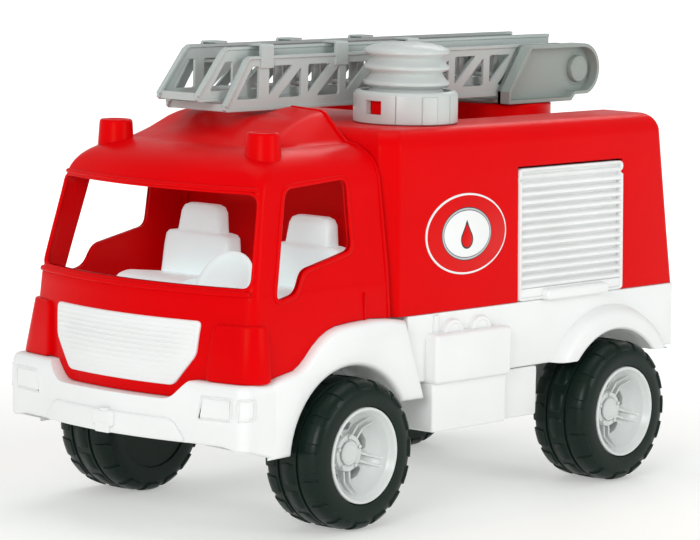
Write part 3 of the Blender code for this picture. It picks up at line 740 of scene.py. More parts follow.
def rim(centre, sign):
    """A deep dish with a bright lip, an inner step, five twin-rib spokes and a stepped hub."""
    cy, cz = centre
    dish = [
        (RIM_R, 66), (RIM_R, 104.0), (27.8, 104.9), (27.2, 105.3), (26.4, 105.2), (25.8, 104.5),
        (25.4, 102.6), (24.4, 101.4), (24.1, 100.6), (23.4, 97.6), (21.0, 92.6), (17.0, 88.8), (12.4, 87.4),
        (11.0, 87.4), (10.9, 91.6), (10.5, 92.4), (8.0, 92.4), (7.6, 91.9), (4.0, 91.9), (4.0, 80), (9, 80),
        (20, 83), (24.6, 92), (25.2, 100), (25.2, 66),
    ]
    slot = [(13.4, -0.33), (17.6, -0.3), (18.2, 0.0), (17.6, 0.3), (13.4, 0.33), (13.0, 0.0)]
    head = [(0, 93.6), (0.9, 93.6), (1.25, 93.2), (1.25, 92.0), (0, 92.0)]
    windows = []
    fittings = []
    for i in range(5):
        angle = math.radians(18 + 72 * i)
        corners = [(cy + r * math.cos(angle + d), cz + r * math.sin(angle + d)) for r, d in slot]
        windows.append(plate(rounded(corners, 1.4, 3), "x", *sorted((sign * 74, sign * 99))))
    for i in range(5):
        angle = math.radians(54 + 72 * i)
        along = Vector((math.cos(angle), math.sin(angle)))
        across = Vector((-along.y, along.x))
        for offset in (-RIB_OFFSET, RIB_OFFSET):
            fittings += spoke_rib(along, across * offset, centre, sign)
        turn = angle - math.radians(36)
        spot = (cy + BOLT_R * math.cos(turn), cz + BOLT_R * math.sin(turn))
        fittings.append(side_lathe(head, spot, sign, 12))
    return join(combine(side_lathe(dish, centre, sign, 80), [(CUT, join(*windows))]), *fittings)


def hub_cap(centre, sign):
    """The round cap that closes the hub, with a raised border."""
    cap = [(0, 92.4), (7.0, 92.4), (7.0, 93.2), (6.6, 93.6), (5.4, 93.6), (5.1, 93.3), (0, 93.3)]
    return side_lathe(cap, centre, sign, 40)


def wheels():
    """Tyre, rim and hub cap on each wheel's body."""
    for name, spot in WHEELS.items():
        sign = 1 if spot.x > 0 else -1
        centre = ((spot.y - MIDDLE_Y) / MM, spot.z / MM)
        for kind, shape, smooth in (("tyre", tyre, 50), ("rim", rim, 30), ("hub_cap", hub_cap, 30)):
            node = f"{kind}_{name}"
            finish = "tyre_plastic" if kind == "tyre" else "rim_plastic"
            piece(f"look_{node}", shape(centre, sign), finish, f"wheel_{name}", [node], smooth)


def foot_drop(x, y):
    """How far the bumper's lower edge falls towards its ends and its back."""
    return 0.2 * max(0.0, abs(x) - 80) + 0.27 * max(0.0, y + 206)


# ---------------------------------------------------------------- chassis


def bumper_shape():
    """The bumper's shell, rounded in at its foot and its top."""
    rows = [(56.0, -2.6), (56.5, -1.1), (57.8, -0.2), (60.0, 0.0), (85.0, 0.0)]
    rows += [(88.4, -0.5), (90.2, -1.5), (91.0, -3.0)]
    rings = []
    for z, out in rows:
        path = plan_path(lambda x: bumper_front(x) - out, FENDER_X + out, BUMPER_CORNER + out / 2, -187.0)
        rings.append([(x, y, z - foot_drop(x, y) * (z < 59)) for x, y in path])
    return loft(rings)


def tongue_outline(grow=0.0):
    """The cab's tongue in the middle of the bumper as (x, z), enlarged all round by grow."""
    low, narrow, wide = 80.4 - grow, 45 + grow, 57.5 + grow
    return rounded([(-narrow, low), (narrow, low), (wide, 93), (wide, 104), (-wide, 104), (-wide, 93)], 6, 5)


def fender_shape():
    rings = []
    for x, inset in ((60.0, 0.0), (91.0, 0.0), (93.0, 0.5), (94.4, 1.6), (95.0, 3.2)):
        rings.append([(x, y, z) for y, z in grown(fender_outline(), -inset)])
    return loft(rings)


def front_end():
    """The bumper and both front fenders as one moulding, hollow behind the wheels."""
    inside = plan_path(lambda x: bumper_front(x) + 3, FENDER_X - 3, BUMPER_CORNER - 1, -176.0)
    steps = [
        (ADD, both(fender_shape())),
        (CUT, loft([[(x, y, z) for x, y in inside] for z in (40, SKIRT_Z)])),
        (CUT, both(rod("x", -AXLE_Y, TYRE_R, ARCH_R, 57, 120, 72))),
        (CUT, plate(tongue_outline(0.3), "y", -240, -205)),
        (CUT, box((-57, -195, 60), (57, -59, 130))),
    ]
    return combine(bumper_shape(), steps)


def headlights():
    """A flat lamp and a corner lamp on each side, outlined in the bumper's face."""
    inner = [(63.4, 70.2), (87.4, 70.8), (88.2, 84.4), (65.8, 84.4)]
    outer = [(89.8, 71.0), (102.5, 72.0), (102.5, 84.6), (90.4, 84.4)]
    shapes = []
    for corners, radius in ((inner, 2.2), (outer, 2.6)):
        outline = divided(rounded(corners, radius, 4), 4)
        shapes.append(ring(grown(outline, -1.0), 1.0, "y", -0.6, 0.7))
        shapes.append(plate(grown(outline, -1.6), "y", -0.6, 0.45, 0.35))
    return both(on_wall(sliced(join(*shapes), 2.5), bumper_wall))


def bumper_trim():
    """The raised lower bar, the tow block in its middle, the ring on it and the peg under it."""
    bar = rounded([(-57, 56.6), (57, 56.6), (47.5, 69.6), (-47.5, 69.6)], 5, 5)
    strip = on_wall(sliced(plate(divided(bar, 5), "y", -1.0, 1.5, 1.2), 4), bumper_wall)
    block = plate(rounded(rectangle(-8.5, 8.5, 60.5, 69.5), 2, 4), "y", -222, -229.6, 1.0)
    loop = [(2.0, 69.0), (3.9, 69.0), (4.1, 70.0), (3.7, 70.6), (2.3, 70.6), (2.0, 70.0)]
    peg = box((-5.5, -229.8, 56.6), (5.5, -225, 63))
    return [(strip, 0.0), (block, 0.0), (lathe(loop, "z", 0, -226.6, 28), 0.0), (peg, 0.8)]


def sill_outline():
    """The side of the rear chassis as (y, z), with the rear wheel arch."""
    cy, cz = REAR_ARCH
    start = math.degrees(math.asin((SKIRT_Z - cz) / REAR_ARCH_R))
    opening = arc(cy, cz, REAR_ARCH_R, start, 180 - start, 30)
    return [(-67, SKIRT_Z), (-67, SILL_Z), (190.4, SILL_Z), (191.0, SKIRT_Z), *opening]


def rear_lip():
    """The rear wheel arch's moulding, its outer flank sloping out from the sill."""
    cy, cz = REAR_ARCH
    profile = [
        (66.6, 86.5), (66.0, 89.0), (64.0, 93.4), (61.6, 95.5), (59.0, 96.0), (52.6, 96.0),
        (REAR_ARCH_R, 95.0), (REAR_ARCH_R, 86.5),
    ]
    rings = []
    for u, v in arc(0, 0, 1, 31.5, 148.5, 48):
        rings.append([(x, cy + r * u, max(SKIRT_Z, cz + r * v)) for r, x in profile])
    return loft(rings)


def rear_chassis():
    """The sides with their arch linings, the inner walls, the tail, the deck and the undertray."""
    cy, cz = REAR_ARCH
    liner = arc(cy, cz, REAR_ARCH_R + 2.2, 43, 137, 24) + arc(cy, cz, REAR_ARCH_R, 137, 43, 24)
    under = SKIRT_Z + 3
    sides = both(
        plate(sill_outline(), "x", 84.0, SILL_X, 0.8),
        plate(liner, "x", 57.0, 86.0),
        rear_lip(),
        box((57, 70, SKIRT_Z), (59, 180, 111)),
        box((56.5, -178, SKIRT_Z), (59.5, -66, 116)),
        box((86, -44.5, 100), (89.2, -40.5, SILL_Z - 1.2)),
        box((57, 178, SKIRT_Z), (86, 188.5, under)),
        box((57, -60, SKIRT_Z), (86, 70, under)),
    )
    tail = box((-85, 187.6, SKIRT_Z), (85, 190.9, SILL_Z - 0.3))
    deck = box((-85, -66, SILL_Z - 3), (85, 188, SILL_Z))
    return join(sides, tail, deck, box((-58, -196, SKIRT_Z), (58, 188.5, under)))


def spine():
    """The open-topped trough under the floor, with a hanger at each axle."""
    low, high = SPINE_Z, SKIRT_Z + 1
    shapes = [both(box((47, -168, low), (50, 168, high))), box((-49, -167, low), (49, 167, low + 3))]
    for y in (-168, 165):
        shapes.append(box((-49, y, low), (49, y + 3, high)))
    for axle_y in (-AXLE_Y, AXLE_Y):
        for y in (axle_y - 6.5, axle_y + 3.5):
            shapes.append(both(box((8, y, 41), (50, y + 3, high))))
    return join(*shapes)


def lockers():
    """The lower lockers and the two hose rolls on top of them, on both sides."""
    upper = rounded(rectangle(-50.5, 19.8, 76.6, 106), 3.4, 4)
    lower = rounded(rectangle(-49, 19.4, 47.5, 77.2), 2.2, 3)
    further = rounded(rectangle(15, 55.2, 47.2, 77.4), 1.8, 3)
    roll = [(0, 80), (9, 80), (9, 91.2), (8.4, 92.0), (6.6, 92.0), (6.2, 91.4), (0, 91.4)]
    return both(
        plate(upper, "x", 60, FENDER_X + 1.4, 2.2),
        plate(lower, "x", 58, 93, 1.4),
        plate(further, "x", 57, 87.2, 0.8),
        *[lathe(roll, "x", y, 104.6, 40) for y in (-28.7, -3.3)],
    )


def chassis():
    piece("look_front_end", front_end(), "white_plastic", "truck", ["chassis"], 34)
    piece("look_headlights", headlights(), "white_plastic", "truck", smooth=40)
    for i, (shape, bevel) in enumerate(bumper_trim()):
        piece(f"look_bumper_trim_{i}", shape, "white_plastic", "truck", bevel=bevel)
    piece("look_rear_chassis", rear_chassis(), "white_plastic", "truck", smooth=36)
    piece("look_spine", spine(), "white_plastic", "truck", bevel=0.6)
    piece("look_lockers", lockers(), "white_plastic", "truck", smooth=36)


# ---------------------------------------------------------------- cab


SIDE_WINDOW = rounded(
    [(-179.4, 135.8), (-162.6, 139), (-156, 151.6), (-114, 160.2), (-113.8, 200.4), (-164.6, 197.4)], 5, 6
)
WINDSHIELD = rounded([(-83.2, 143.6), (83.2, 143.6), (77.2, 195.2), (-77.2, 195.2)], 6, 7)


def divided(outline, longest):
    """The outline with points added so that no step is longer than given."""
    made = []
    for (u1, v1), (u2, v2) in zip(outline, outline[1:] + outline[:1]):
        count = max(1, math.ceil(math.hypot(u2 - u1, v2 - v1) / longest))
        made += [(u1 + (u2 - u1) * k / count, v1 + (v2 - v1) * k / count) for k in range(count)]
    return made


def cab_skin(inset, rear_y, low_z, high_z):
    """The cab's outside up to a height, drawn in by inset, as a solid."""
    rings = []
    for k, (z, half, front, corner) in enumerate(CAB):
        if z <= high_z:
            path = plan_path(lambda x: bowed_y(front + inset, x), half - inset, corner, rear_y)
            rings.append([(x, y, z if k else low_z) for x, y in path])
    return loft(rings)


def roof_hump():
    """The raised wedge in the middle of the roof, stepped down on the right to clear the ladder."""
    left = [
        (-176, 58, 207.0), (-165, 57, 214.6), (-150, 53, 220.2), (-134, 48, 225.0), (-115, 42, 230.2),
        (-95, 37, 234.2), (CAB_REAR_Y, 34.4, 235.2),
    ]
    right = [(-58, 207.0), (-60, 214.0), (-61, 218.2), (-60, 223.4), (-55, 232.4), (-49, 233.4), (-44, 233.6)]
    rings = []
    for (y, near_x, near_z), (far_x, far_z) in zip(left, right):
        roof = min(218.0, near_z - 1.5)
        crown = min(near_z + 1.5, 236.8)
        low_crown = min(crown, 233.6)
        fall = near_z - roof
        section = [
            (near_x + fall * 1.15 + 2, roof - 8), (near_x + fall * 1.15, roof - 1),
            (near_x + fall * 0.8, roof + fall * 0.2), (near_x + 1.4, near_z - 1.3),
            (near_x - 0.8, near_z - 0.1), (near_x - 3.0, near_z + 0.4), (9.6, crown), (8.8, low_crown),
            (-24.0, low_crown), (far_x + 5, far_z + 0.1), (far_x, far_z - 1.2),
            (far_x - (far_z - roof) * 0.5 - 1, roof - 1), (far_x - 4, roof - 8),
        ]
        rings.append([(x, y, z) for x, z in section])
    return loft(smooth_rings(rings, 3))


def beacon():
    """A capped light on the left of the cab's roof."""
    profile = [
        (0, 205), (11, 205), (11.0, 212.2), (10.6, 213.2), (9.8, 226.0), (9.5, 227.4), (8.8, 228.1),
        (7.2, 228.1), (6.6, 227.6), (0, 227.4),
    ]
    return lathe(profile, "z", 59.3, -162.5, 56)


def fairing():
    """The raised panel round a front corner of the cab, flaring out towards the bumper."""
    high = 123.2
    outline = rounded([(62.5, 91.2), (96.5, 91.2), (96.5, high), (66.0, high)], 4.0, 6)
    panel = sliced(plate(divided(outline, 3), "y", -1.0, 2.4, 0.9), 2)

    def flare(x, y, z):
        down = max(0.0, (high - z) / 32)
        outwards = min(1.0, max(0.0, (x - 58) / 26))
        return (x, y + 4.4 * down * outwards * (y > 0), z)

    return on_wall(moved(panel, flare), cab_wall)


def cab_body():
    """The hollow cab: roof hump and tongue added, wheel arches, windscreen and windows cut."""
    tongue = sliced(plate(divided(tongue_outline(), 6), "y", -WALL, 0.0), 4)
    steps = [
        (ADD, roof_hump()),
        (CUT, cab_skin(WALL, 0.0, 60.0, 215.0)),
        (CUT, box((-110, -260, 60), (110, -60, 91.4))),
        (ADD, on_wall(tongue, cab_wall)),
        (CUT, both(plate(fender_outline(FIT_GAP), "x", 59, 110))),
        (CUT, both(rod("x", -AXLE_Y, TYRE_R, ARCH_R + 2, 50, 110, 48))),
        (CUT, plate(WINDSHIELD, "y", -250, -177)),
        (CUT, plate(SIDE_WINDOW, "x", -120, 120)),
    ]
    return combine(cab_skin(0.0, CAB_REAR_Y, 80.0, 220.0), steps)


def window_rims():
    """Raised lips round the windows, the ledge under the windscreen and the visor's edge over it."""
    side_rim = ring(divided(SIDE_WINDOW, 8), 2.8, "x", -1.5, 0.9)
    front_rim = sliced(ring(divided(WINDSHIELD, 8), 2.0, "y", -1.5, 0.8), 8)
    shapes = [both(moved(side_rim, lambda x, y, z: (cab_half(z) + x, y, z))), on_wall(front_rim, cab_wall)]
    for reach, z, half_height, height in ((85.5, 140.6, 1.5, 1.7), (77.0, 198.0, 1.2, 1.5)):
        outline = rounded(rectangle(-reach, reach, z - half_height, z + half_height), 1.1, 3)
        bead = plate(divided(outline, 5), "y", -1.0, height, height * 0.7)
        shapes.append(on_wall(sliced(bead, 5), cab_wall))
    return join(*shapes)


def rear_edge():
    """The thin lip round the back of the cab and the short ribs near its foot."""
    side = [(cab_half(z), z) for z in (120, 150, 180, 200, 206, 210, 213, 215.5)]
    crown = [
        (60, 217.5), (53, 218.4), (46.5, 223.9), (36.5, 233.6), (33.5, 235.2), (10, 236.4), (8.6, 233.4),
        (-43, 233.4), (-47, 231.5), (-56, 219.2), (-61, 217.5),
    ]
    outline = [*side, *crown, *[(-x, z) for x, z in reversed(side)]]
    lip = band(grown(outline, -6.0), grown(outline, 0.75), "y", CAB_REAR_Y - 1.9, CAB_REAR_Y + 0.1)
    return join(lip, both(box((86.0, -106.3, 116), (88.7, -105.1, 135))))


def cab():
    piece("look_cab", cab_body(), "red_plastic", "truck", ["cab_shell"], 32)
    piece("look_beacons", both(beacon()), "red_plastic", "truck", smooth=35)
    piece("look_fairings", both(fairing()), "red_plastic", "truck", smooth=35)
    piece("look_window_rims", window_rims(), "red_plastic", "truck", smooth=50)
    piece("look_cab_edge", rear_edge(), "red_plastic", "truck", smooth=40)


def grille():
    """A bowed white panel with fine horizontal ribs; the mark is left out."""
    corners = [(-41.8, 86.9), (41.8, 86.9), (55.8, 105.1), (57.6, 124.3), (-57.6, 124.3), (-55.8, 105.1)]
    outline = rounded(corners, 3.2, 5)
    shapes = [plate(divided(outline, 6), "y", -1.2, 1.5, 0.8)]
    count = 12
    for i in range(count):
        z = 90.4 + (121.2 - 90.4) * i / (count - 1)
        half = min(54.4, 41.0 + max(0.0, z - 87.5) * 0.78)
        section = [(z - 0.9, 1.3), (z - 0.5, 1.56), (z, 1.66), (z + 0.5, 1.56), (z + 0.9, 1.3)]
        shapes.append(loft([[(x, y, height) for height, y in section] for x in (-half, half)]))
    panel = on_wall(sliced(join(*shapes), 4), cab_wall)
    piece("look_grille", panel, "white_plastic", "truck", ["grille_panel"], 40)


def seat(x):
    """A seat with a cushion, a square-shouldered back and a headrest."""
    profile = rounded([(-149, 127), (-150, 134), (-140, 136.5), (-108, 133), (-100, 126)], 4, 4)
    rings = []
    for z, half, y_front, y_rear in (
        (126, 26.5, -113, -98), (132, 27.2, -113.5, -97.5), (150, 27.0, -111.0, -97),
        (156.4, 26.4, -110.0, -97), (158.4, 24.6, -109.5, -97.3), (159.0, 21.0, -109.2, -97.5),
        (159.2, 17.6, -109.0, -97.5), (161.5, 17.3, -108.6, -97.5), (171, 16.6, -107.0, -97.5),
        (174.2, 15.0, -106.2, -98), (175.6, 11.6, -105.0, -99),
    ):
        outline = rounded(rectangle(x - half, x + half, y_front, y_rear), 4, 4)
        rings.append([(u, v, z) for u, v in outline])
    return join(plate(profile, "x", x - 27, x + 27), loft(rings))


def steering():
    """A plain dished wheel whose top leans back towards the driver."""
    cos, sin = math.cos(math.radians(28)), math.sin(math.radians(28))
    top = [(0, 0.8), (15.5, 0.8), (17.2, 2.0), (19.2, 2.7), (20.6, 2.2), (21, 1.2)]
    disc = lathe([*top, (20.4, 0.2), (19, -0.4), (0, -0.4)], "z", 0, 0, 64)
    return moved(disc, lambda x, y, z: (33 + x, -164 - z * cos + y * sin, 138.5 + y * cos + z * sin))


def cab_inside():
    """The two seats on their base, the steering column and the wheel."""
    base = box((-72, -152, 119.8), (72, -92, 127.2))
    foot = ((-156, 120), (-140, 120), (-166, 138), (-160, 141))
    column = hull([(x, y, z) for x in (33, 41) for y, z in foot])
    shapes = join(base, seat(44), seat(-44), column)
    # The seats and steering wheel use the plastic with the painted glow.
    piece("look_seats", shapes, "seat_white_painted_glow", "truck", ["cab_seats"], 40)
    piece("look_steering_wheel", steering(), "seat_white_painted_glow", "truck", ["steering_wheel"], 45)


# ---------------------------------------------------------------- equipment box


def box_ring(z, half, front, rear):
    """The box's plan at height z, with rounded rear corners and bent-in front corners."""
    shoulder = front + BOX_CHAMFER
    nose = [(-half, shoulder), (-half + BOX_CHAMFER, front), (half - BOX_CHAMFER, front), (half, shoulder)]
    tail = [(half, rear), (-half, rear)]
    front_part = rounded([*nose, *tail], 1.4, 3)[:16]
    rear_part = [point for point in rounded([nose[-1], *tail, nose[0]], 4.5, 5) if point[1] > shoulder + 20]
    return [(x, y, z) for x, y in front_part + rear_part]


def box_rows():
    """(z, half width, front y, rear y) of the box, rounded over into the roof."""
    edge = (214.0, 85.4, -83.0, 177.4)
    rows = [(SILL_Z + 0.3, 88.0, -84.0, 190.5), (150, 87.1, -83.6, 186.0), (190, 86.1, -83.2, 180.5), edge]
    for i in range(1, 9):
        turn = math.radians(90 * i / 8)
        rise = (ROOF_Z - edge[0]) * math.sin(turn)
        draw = 9.5 * (1 - math.cos(turn))
        rows.append((edge[0] + rise, edge[1] - draw, edge[2] + draw, edge[3] - draw))
    return rows


def equipment_box():
    """The hollow box with an opening and a hinge pocket for each shutter and a channel in its roof."""
    front, rear = SHUTTER_Y
    shell = loft([box_ring(*row) for row in box_rows()])
    hollow = [(100.0, 88.0 - WALL, -84 + WALL, 190.5 - WALL), (213.5, 85.4 - WALL, -83 + WALL, 177.4 - WALL)]
    opening = box((70, front - 0.5, 90), (100, rear + 0.5, SHUTTER_Z[1] + 0.3))
    channel = rounded(rectangle(-76, 46, 25, 230), 6, 6)
    steps = [
        (CUT, loft([box_ring(*row) for row in hollow])),
        (CUT, both(opening)),
        (CUT, both(rod("y", HINGE_X, HINGE_Z, 1.6, front - 3.8, rear + 3.8))),
        (CUT, both(rod("y", HINGE_X, HINGE_Z, SWING_R + 0.12, front - 0.5, rear + 0.5, 48))),
        (CUT, both(plate(fender_outline(FIT_GAP), "x", 59, 100))),
        (CUT, plate(channel, "z", 217, 245)),
    ]
    piece("look_box", combine(shell, steps), "red_plastic", "truck", ["body_box"], 32)
    side = [(37.5, 214), (37.5, 217.6), (36.3, 218.4), (36, 219.6), (36, 228.6), (35, 229.6)]
    pedestal = lathe([(0, 214), *side, (0, 229.6)], "z", LADDER_X, TURN_Y)
    piece("look_pedestal", pedestal, "red_plastic", "truck", smooth=30)


def on_box_side(bm):
    """Stands a flat shape, whose x runs outwards, against the box's sloping side."""
    return moved(bm, lambda x, y, z: (box_half(z) + x, y, z))


def round_the_hinge(x, y, z):
    """Trims the top of a shutter so that it swings clear of the wall above it."""
    below = HINGE_Z - z
    if below > 4.8:
        return (x, y, z)
    reach = max(2.4, math.sqrt(max(0.0, SWING_R ** 2 - below * below)))
    return (min(x, HINGE_X + reach), y, z)


def shutter(sign):
    """A louvred door: a slim rounded frame, rounded slats and a pull along the foot."""
    low, high = SHUTTER_Z
    front, rear = SHUTTER_Y
    outline = divided(rounded(rectangle(front, rear, low, high), 3.2, 4), 1.0)
    shapes = [
        on_box_side(ring(grown(outline, -2.0), 2.0, "x", -3.8, 1.5)),
        on_box_side(plate(grown(outline, -1.0), "x", -4.2, -3.0)),
    ]
    count = 14
    start, end = low + 7.2, high - 1.9
    pitch = (end - start) / count
    for i in range(count):
        z = start + pitch * i
        x = box_half(z + pitch / 2)
        section = [
            (x - 3.4, z), (x - 0.4, z + 0.05), (x + 0.9, z + 0.4), (x + 1.4, z + 1.2), (x + 1.3, z + 2.3),
            (x + 0.6, z + 2.9), (x - 2.4, z + 3.6), (x - 2.4, z + pitch - 0.1), (x - 3.4, z + pitch - 0.1),
        ]
        shapes.append(plate(section, "y", front + 1.8, rear - 1.8))
    pull = rounded(rectangle(57, 118, low - 0.7, low + 6.0), 2.8, 4)
    shapes += [
        plate(rectangle(front + 1.6, rear - 1.6, low + 1.0, start), "x", 84, 88.4, 0.5),
        plate(pull, "x", 88.3, 93.4, 1.8),
        rod("y", HINGE_X, HINGE_Z, 1.15, front - 3.4, rear + 3.4, 16),
        box((82.4, front + 0.5, HINGE_Z - 2.4), (84.8, rear - 0.5, HINGE_Z + 1.4)),
    ]
    return sided(moved(join(*shapes), round_the_hinge), sign)


def badge_layer(outline, low, high, edge, sign):
    """One layer of the badge on the box's side, between two heights above it."""
    return sided(on_box_side(plate(outline, "x", low, high, edge)), sign)


def oval(half_y, half_z, shrink=0.0):
    """An oval about the badge's centre, given by its half width and half height."""
    wide, tall = half_y - shrink, half_z - shrink
    return [(BADGE_Y + wide * u, BADGE_Z + tall * v) for u, v in circle(0, 0, 1, 80)]


def drop_outline(cu, cv, radius):
    """A plain water drop, point up."""
    side, shoulder, point = radius * 0.42, cv + radius * 1.25, cv + radius * 2.1
    return [*arc(cu, cv, radius, 152, 388, 28), (cu + side, shoulder), (cu, point), (cu - side, shoulder)]


def badge(side, sign):
    """A plain oval badge: a white line, a red field and a white centre with a water drop."""
    name = f"look_badge_{side}"
    disc = badge_layer(oval(*BADGE_HALF), 0.1, 0.8, 0.3, sign)
    piece(name, disc, "white_plastic", "truck", [f"badge_{side}"], 40)
    layers = [
        (BADGE_HALF, 1.2, "badge_red"), (BADGE_CENTRE, -0.5, "badge_black"),
        (BADGE_CENTRE, 0.0, "badge_silver"), (BADGE_CENTRE, 1.1, "badge_black"),
        (BADGE_CENTRE, 1.5, "white_plastic"),
    ]
    for k, (half, shrink, finish) in enumerate(layers):
        layer = badge_layer(oval(*half, shrink), 0.5, 0.88 + 0.06 * k, 0.05, sign)
        piece(f"{name}_{k}", layer, finish, "truck", smooth=40)
    for k, (radius, finish) in enumerate(((5.6, "badge_black"), (4.6, "badge_red"))):
        drop = badge_layer(drop_outline(BADGE_Y, BADGE_Z - 3.4, radius), 0.5, 1.2 + 0.08 * k, 0.05, sign)
        piece(f"{name}_drop_{k}", drop, finish, "truck", smooth=40)


def box_fittings():
    """A shutter and a badge on each side of the box."""
    for side, sign in SIDES.items():
        shape = shutter(sign)
        piece(f"look_shutter_{side}", shape, "white_plastic", f"locker_door_{side}", [f"shutter_{side}"], 36)
        badge(side, sign)


# ---------------------------------------------------------------- ladder


def cradle():
    """The turning bracket: a floor on a round foot and two recessed cheeks."""
    front, rear = TURN_Y - 28, TURN_Y + 35
    outline = [
        (front, 230.1), (rear, 230.1), (rear + 4, 234),
        *arc(PIVOT_Y, PIVOT_Z, CRADLE_R, -75, 90, 24),
        (131.5, 266.5), (129.6, 265.6), (front, 238),
    ]
    inner = [
        (front + 2.2, 232.4), (rear - 1, 232.4), (rear + 3.2, 236.0),
        *arc(PIVOT_Y, PIVOT_Z, CRADLE_R - 2.2, -75, 90, 24),
        (132.6, 264.3), (131.6, 263.8), (front + 2.2, 237.6),
    ]
    foot = [(0, 229.9), (33, 229.9), (33, 231.2), (32.4, 232.0), (0, 232.0)]
    boss = [(4.3, 27), (10.6, 27), (10.6, 27.75), (4.3, 27.75)]
    shapes = [
        lathe(foot, "z", LADDER_X, TURN_Y, 64),
        across_ladder(25.6, (front + 1, 230.4), (rear - 2, 232.8)),
        rod("z", LADDER_X, TURN_Y, 5.6, 212.2, 231, 28),
    ]
    for sign in (1, -1):
        near, far = LADDER_X + sign * 25, LADDER_X + sign * 27.6
        shapes.append(plate(outline, "x", near, far))
        shapes.append(band(inner, outline, "x", *sorted((near + sign * 0.4, LADDER_X + sign * 34.7))))
        shapes.append(side_lathe(boss, (PIVOT_Y, PIVOT_Z), sign, 40, LADDER_X))
    return join(*shapes)


def pivot_pin(sign):
    """The round pin that carries the ladder in one cheek, with a stepped head."""
    profile = [
        (0, 20.5), (4.0, 20.5), (4.0, 27.8), (8.6, 27.8), (8.6, 30.6), (8.1, 31.4), (6.4, 31.6),
        (5.9, 31.2), (0, 31.2),
    ]
    return side_lathe(profile, (PIVOT_Y, PIVOT_Z), sign, 48, LADDER_X)


def across_ladder(half, low, high):
    """A bar across the ladder, centred on it, between two corners given as (y, z)."""
    return box((LADDER_X - half, *low), (LADDER_X + half, *high))


def rungs(first, z, radius, half):
    """A round rung at every bay of the ladder."""
    shapes = []
    for i in range(BAYS):
        shapes.append(rod("x", first + BAY * i, z, radius, LADDER_X - half, LADDER_X + half, 20))
    return shapes


def truss_holes(first, low, high, bar):
    """Two triangles in each bay, either side of a diagonal that leans back; bar is the width left."""
    holes = []
    for i in range(BAYS):
        start = first + BAY * i + bar / 2
        end = start + BAY - bar
        reach = (high - low - HOLE_GAP) * (end - start - bar) / (high - low)
        for corners in (
            [(start, low + HOLE_GAP), (start, high), (start + reach, high)],
            [(end, high - HOLE_GAP), (end, low), (end - reach, low)],
        ):
            holes.append(rounded(corners, HOLE_BEND, 3))
    return holes


def flange(points, centre, across, thickness):
    """A thin strip along a line of (y, z) points, standing across the web at x centre."""
    inner, outer = centre - across / 2, centre + across / 2
    rings = []
    for i, point in enumerate(points):
        before = Vector(points[max(0, i - 1)])
        after = Vector(points[min(len(points) - 1, i + 1)])
        run = (after - before).normalized()
        up = Vector((-run.y, run.x)) * thickness / 2
        foot, top = Vector(point) - up, Vector(point) + up
        rings.append([(inner, *foot), (outer, *foot), (outer, *top), (inner, *top)])
    return loft(rings)


def truss(sign, inner, outer, outline, holes, edges, reach):
    """One side of a ladder: a pierced web with strips along its edges."""
    centre = LADDER_X + sign * (inner + outer) / 2
    web = pierced(outline, "x", *sorted((LADDER_X + sign * inner, LADDER_X + sign * outer)), holes)
    return [web, *[flange(line, centre, reach, 1.8) for line in edges]]


def ladder_lower():
    """The base ladder, with a rounded heel at the pivot and hooks that hold the extension."""
    low, high = 234.8, 266.7
    foot = [(-116.0, high), (-119.6, high - 1.8), (-137.4, low + 3.6), (-137.7, low + 1.4), (-135.6, low)]
    outline = [*arc(PIVOT_Y, PIVOT_Z, 15.0, -90, 90, 20), *foot]
    holes = truss_holes(-102.8, low + 7, high - 6, 6)
    holes.append(list(reversed(circle(PIVOT_Y, PIVOT_Z, 4.3, 32))))
    tip = [(-127.5, low + 7), (-108.5, low + 7), (-108.5, high - 6), (-114, high - 6)]
    holes.append(rounded(tip, HOLE_BEND, 3))
    top = [(172, high - 0.9), (-116.5, high - 0.9), (-119.2, high - 2.6), (-136.6, low + 3.2)]
    bottom = [(172, low + 0.9), (-135.4, low + 0.9)]
    hook = [
        (24.9, 259.5), (24.9, 272.4), (24.0, 273.5), (13.4, 273.5), (13.4, 272.5), (22.9, 272.5),
        (22.9, 259.5),
    ]
    shapes = rungs(-102.8, 237.4, 1.9, 22.5)
    for sign in (1, -1):
        shapes += truss(sign, 22.0, 23.8, outline, holes, (top, bottom), 3.6)
        for y in (-108, -42.5, 23):
            shapes.append(plate([(LADDER_X + sign * u, v) for u, v in hook], "y", y, y + 10.8))
    shapes.append(across_ladder(22.4, (-134.5, 235.0), (-123, 237.0)))
    shapes.append(across_ladder(22.4, (-136.0, 235.0), (-133.6, 239.4)))
    return join(*shapes)


def ladder_upper():
    """The extension, a narrower ladder with a rail on each side that runs in the hooks."""
    low, high = 240.8, 272.1
    foot = [(-127.6, high), (-131.4, high - 1.8), (-153.0, low + 3.8), (-153.3, low + 1.6), (-151.2, low)]
    outline = [(171.2, low), (171.2, high), *foot]
    holes = truss_holes(-118.0, low + 6, high - 8.5, 5)
    tip = [(-142, low + 6), (-123, low + 6), (-123, high - 8.5), (-129.5, high - 8.5)]
    holes.append(rounded(tip, HOLE_BEND, 3))
    top = [(171, high - 0.9), (-128, high - 0.9), (-131.0, high - 2.6), (-152.2, low + 3.4)]
    bottom = [(171, low + 0.9), (-151, low + 0.9)]
    rail = rectangle(15.5, 20.5, 261, 262.8)
    shapes = rungs(-101.1, 245.5, 1.8, 14.6)
    for sign in (1, -1):
        shapes += truss(sign, 14.4, 16.2, outline, holes, (top, bottom), 3.2)
        shapes.append(plate([(LADDER_X + sign * u, v) for u, v in rail], "y", -116, 168))
    shapes.append(across_ladder(14.8, (-150.0, 241.4), (-137, 243.2)))
    shapes.append(across_ladder(14.8, (-151.4, 241.4), (-149.4, 246.0)))
    shapes.append(across_ladder(14.8, (168.4, 242), (170.8, 270)))
    return join(*shapes)


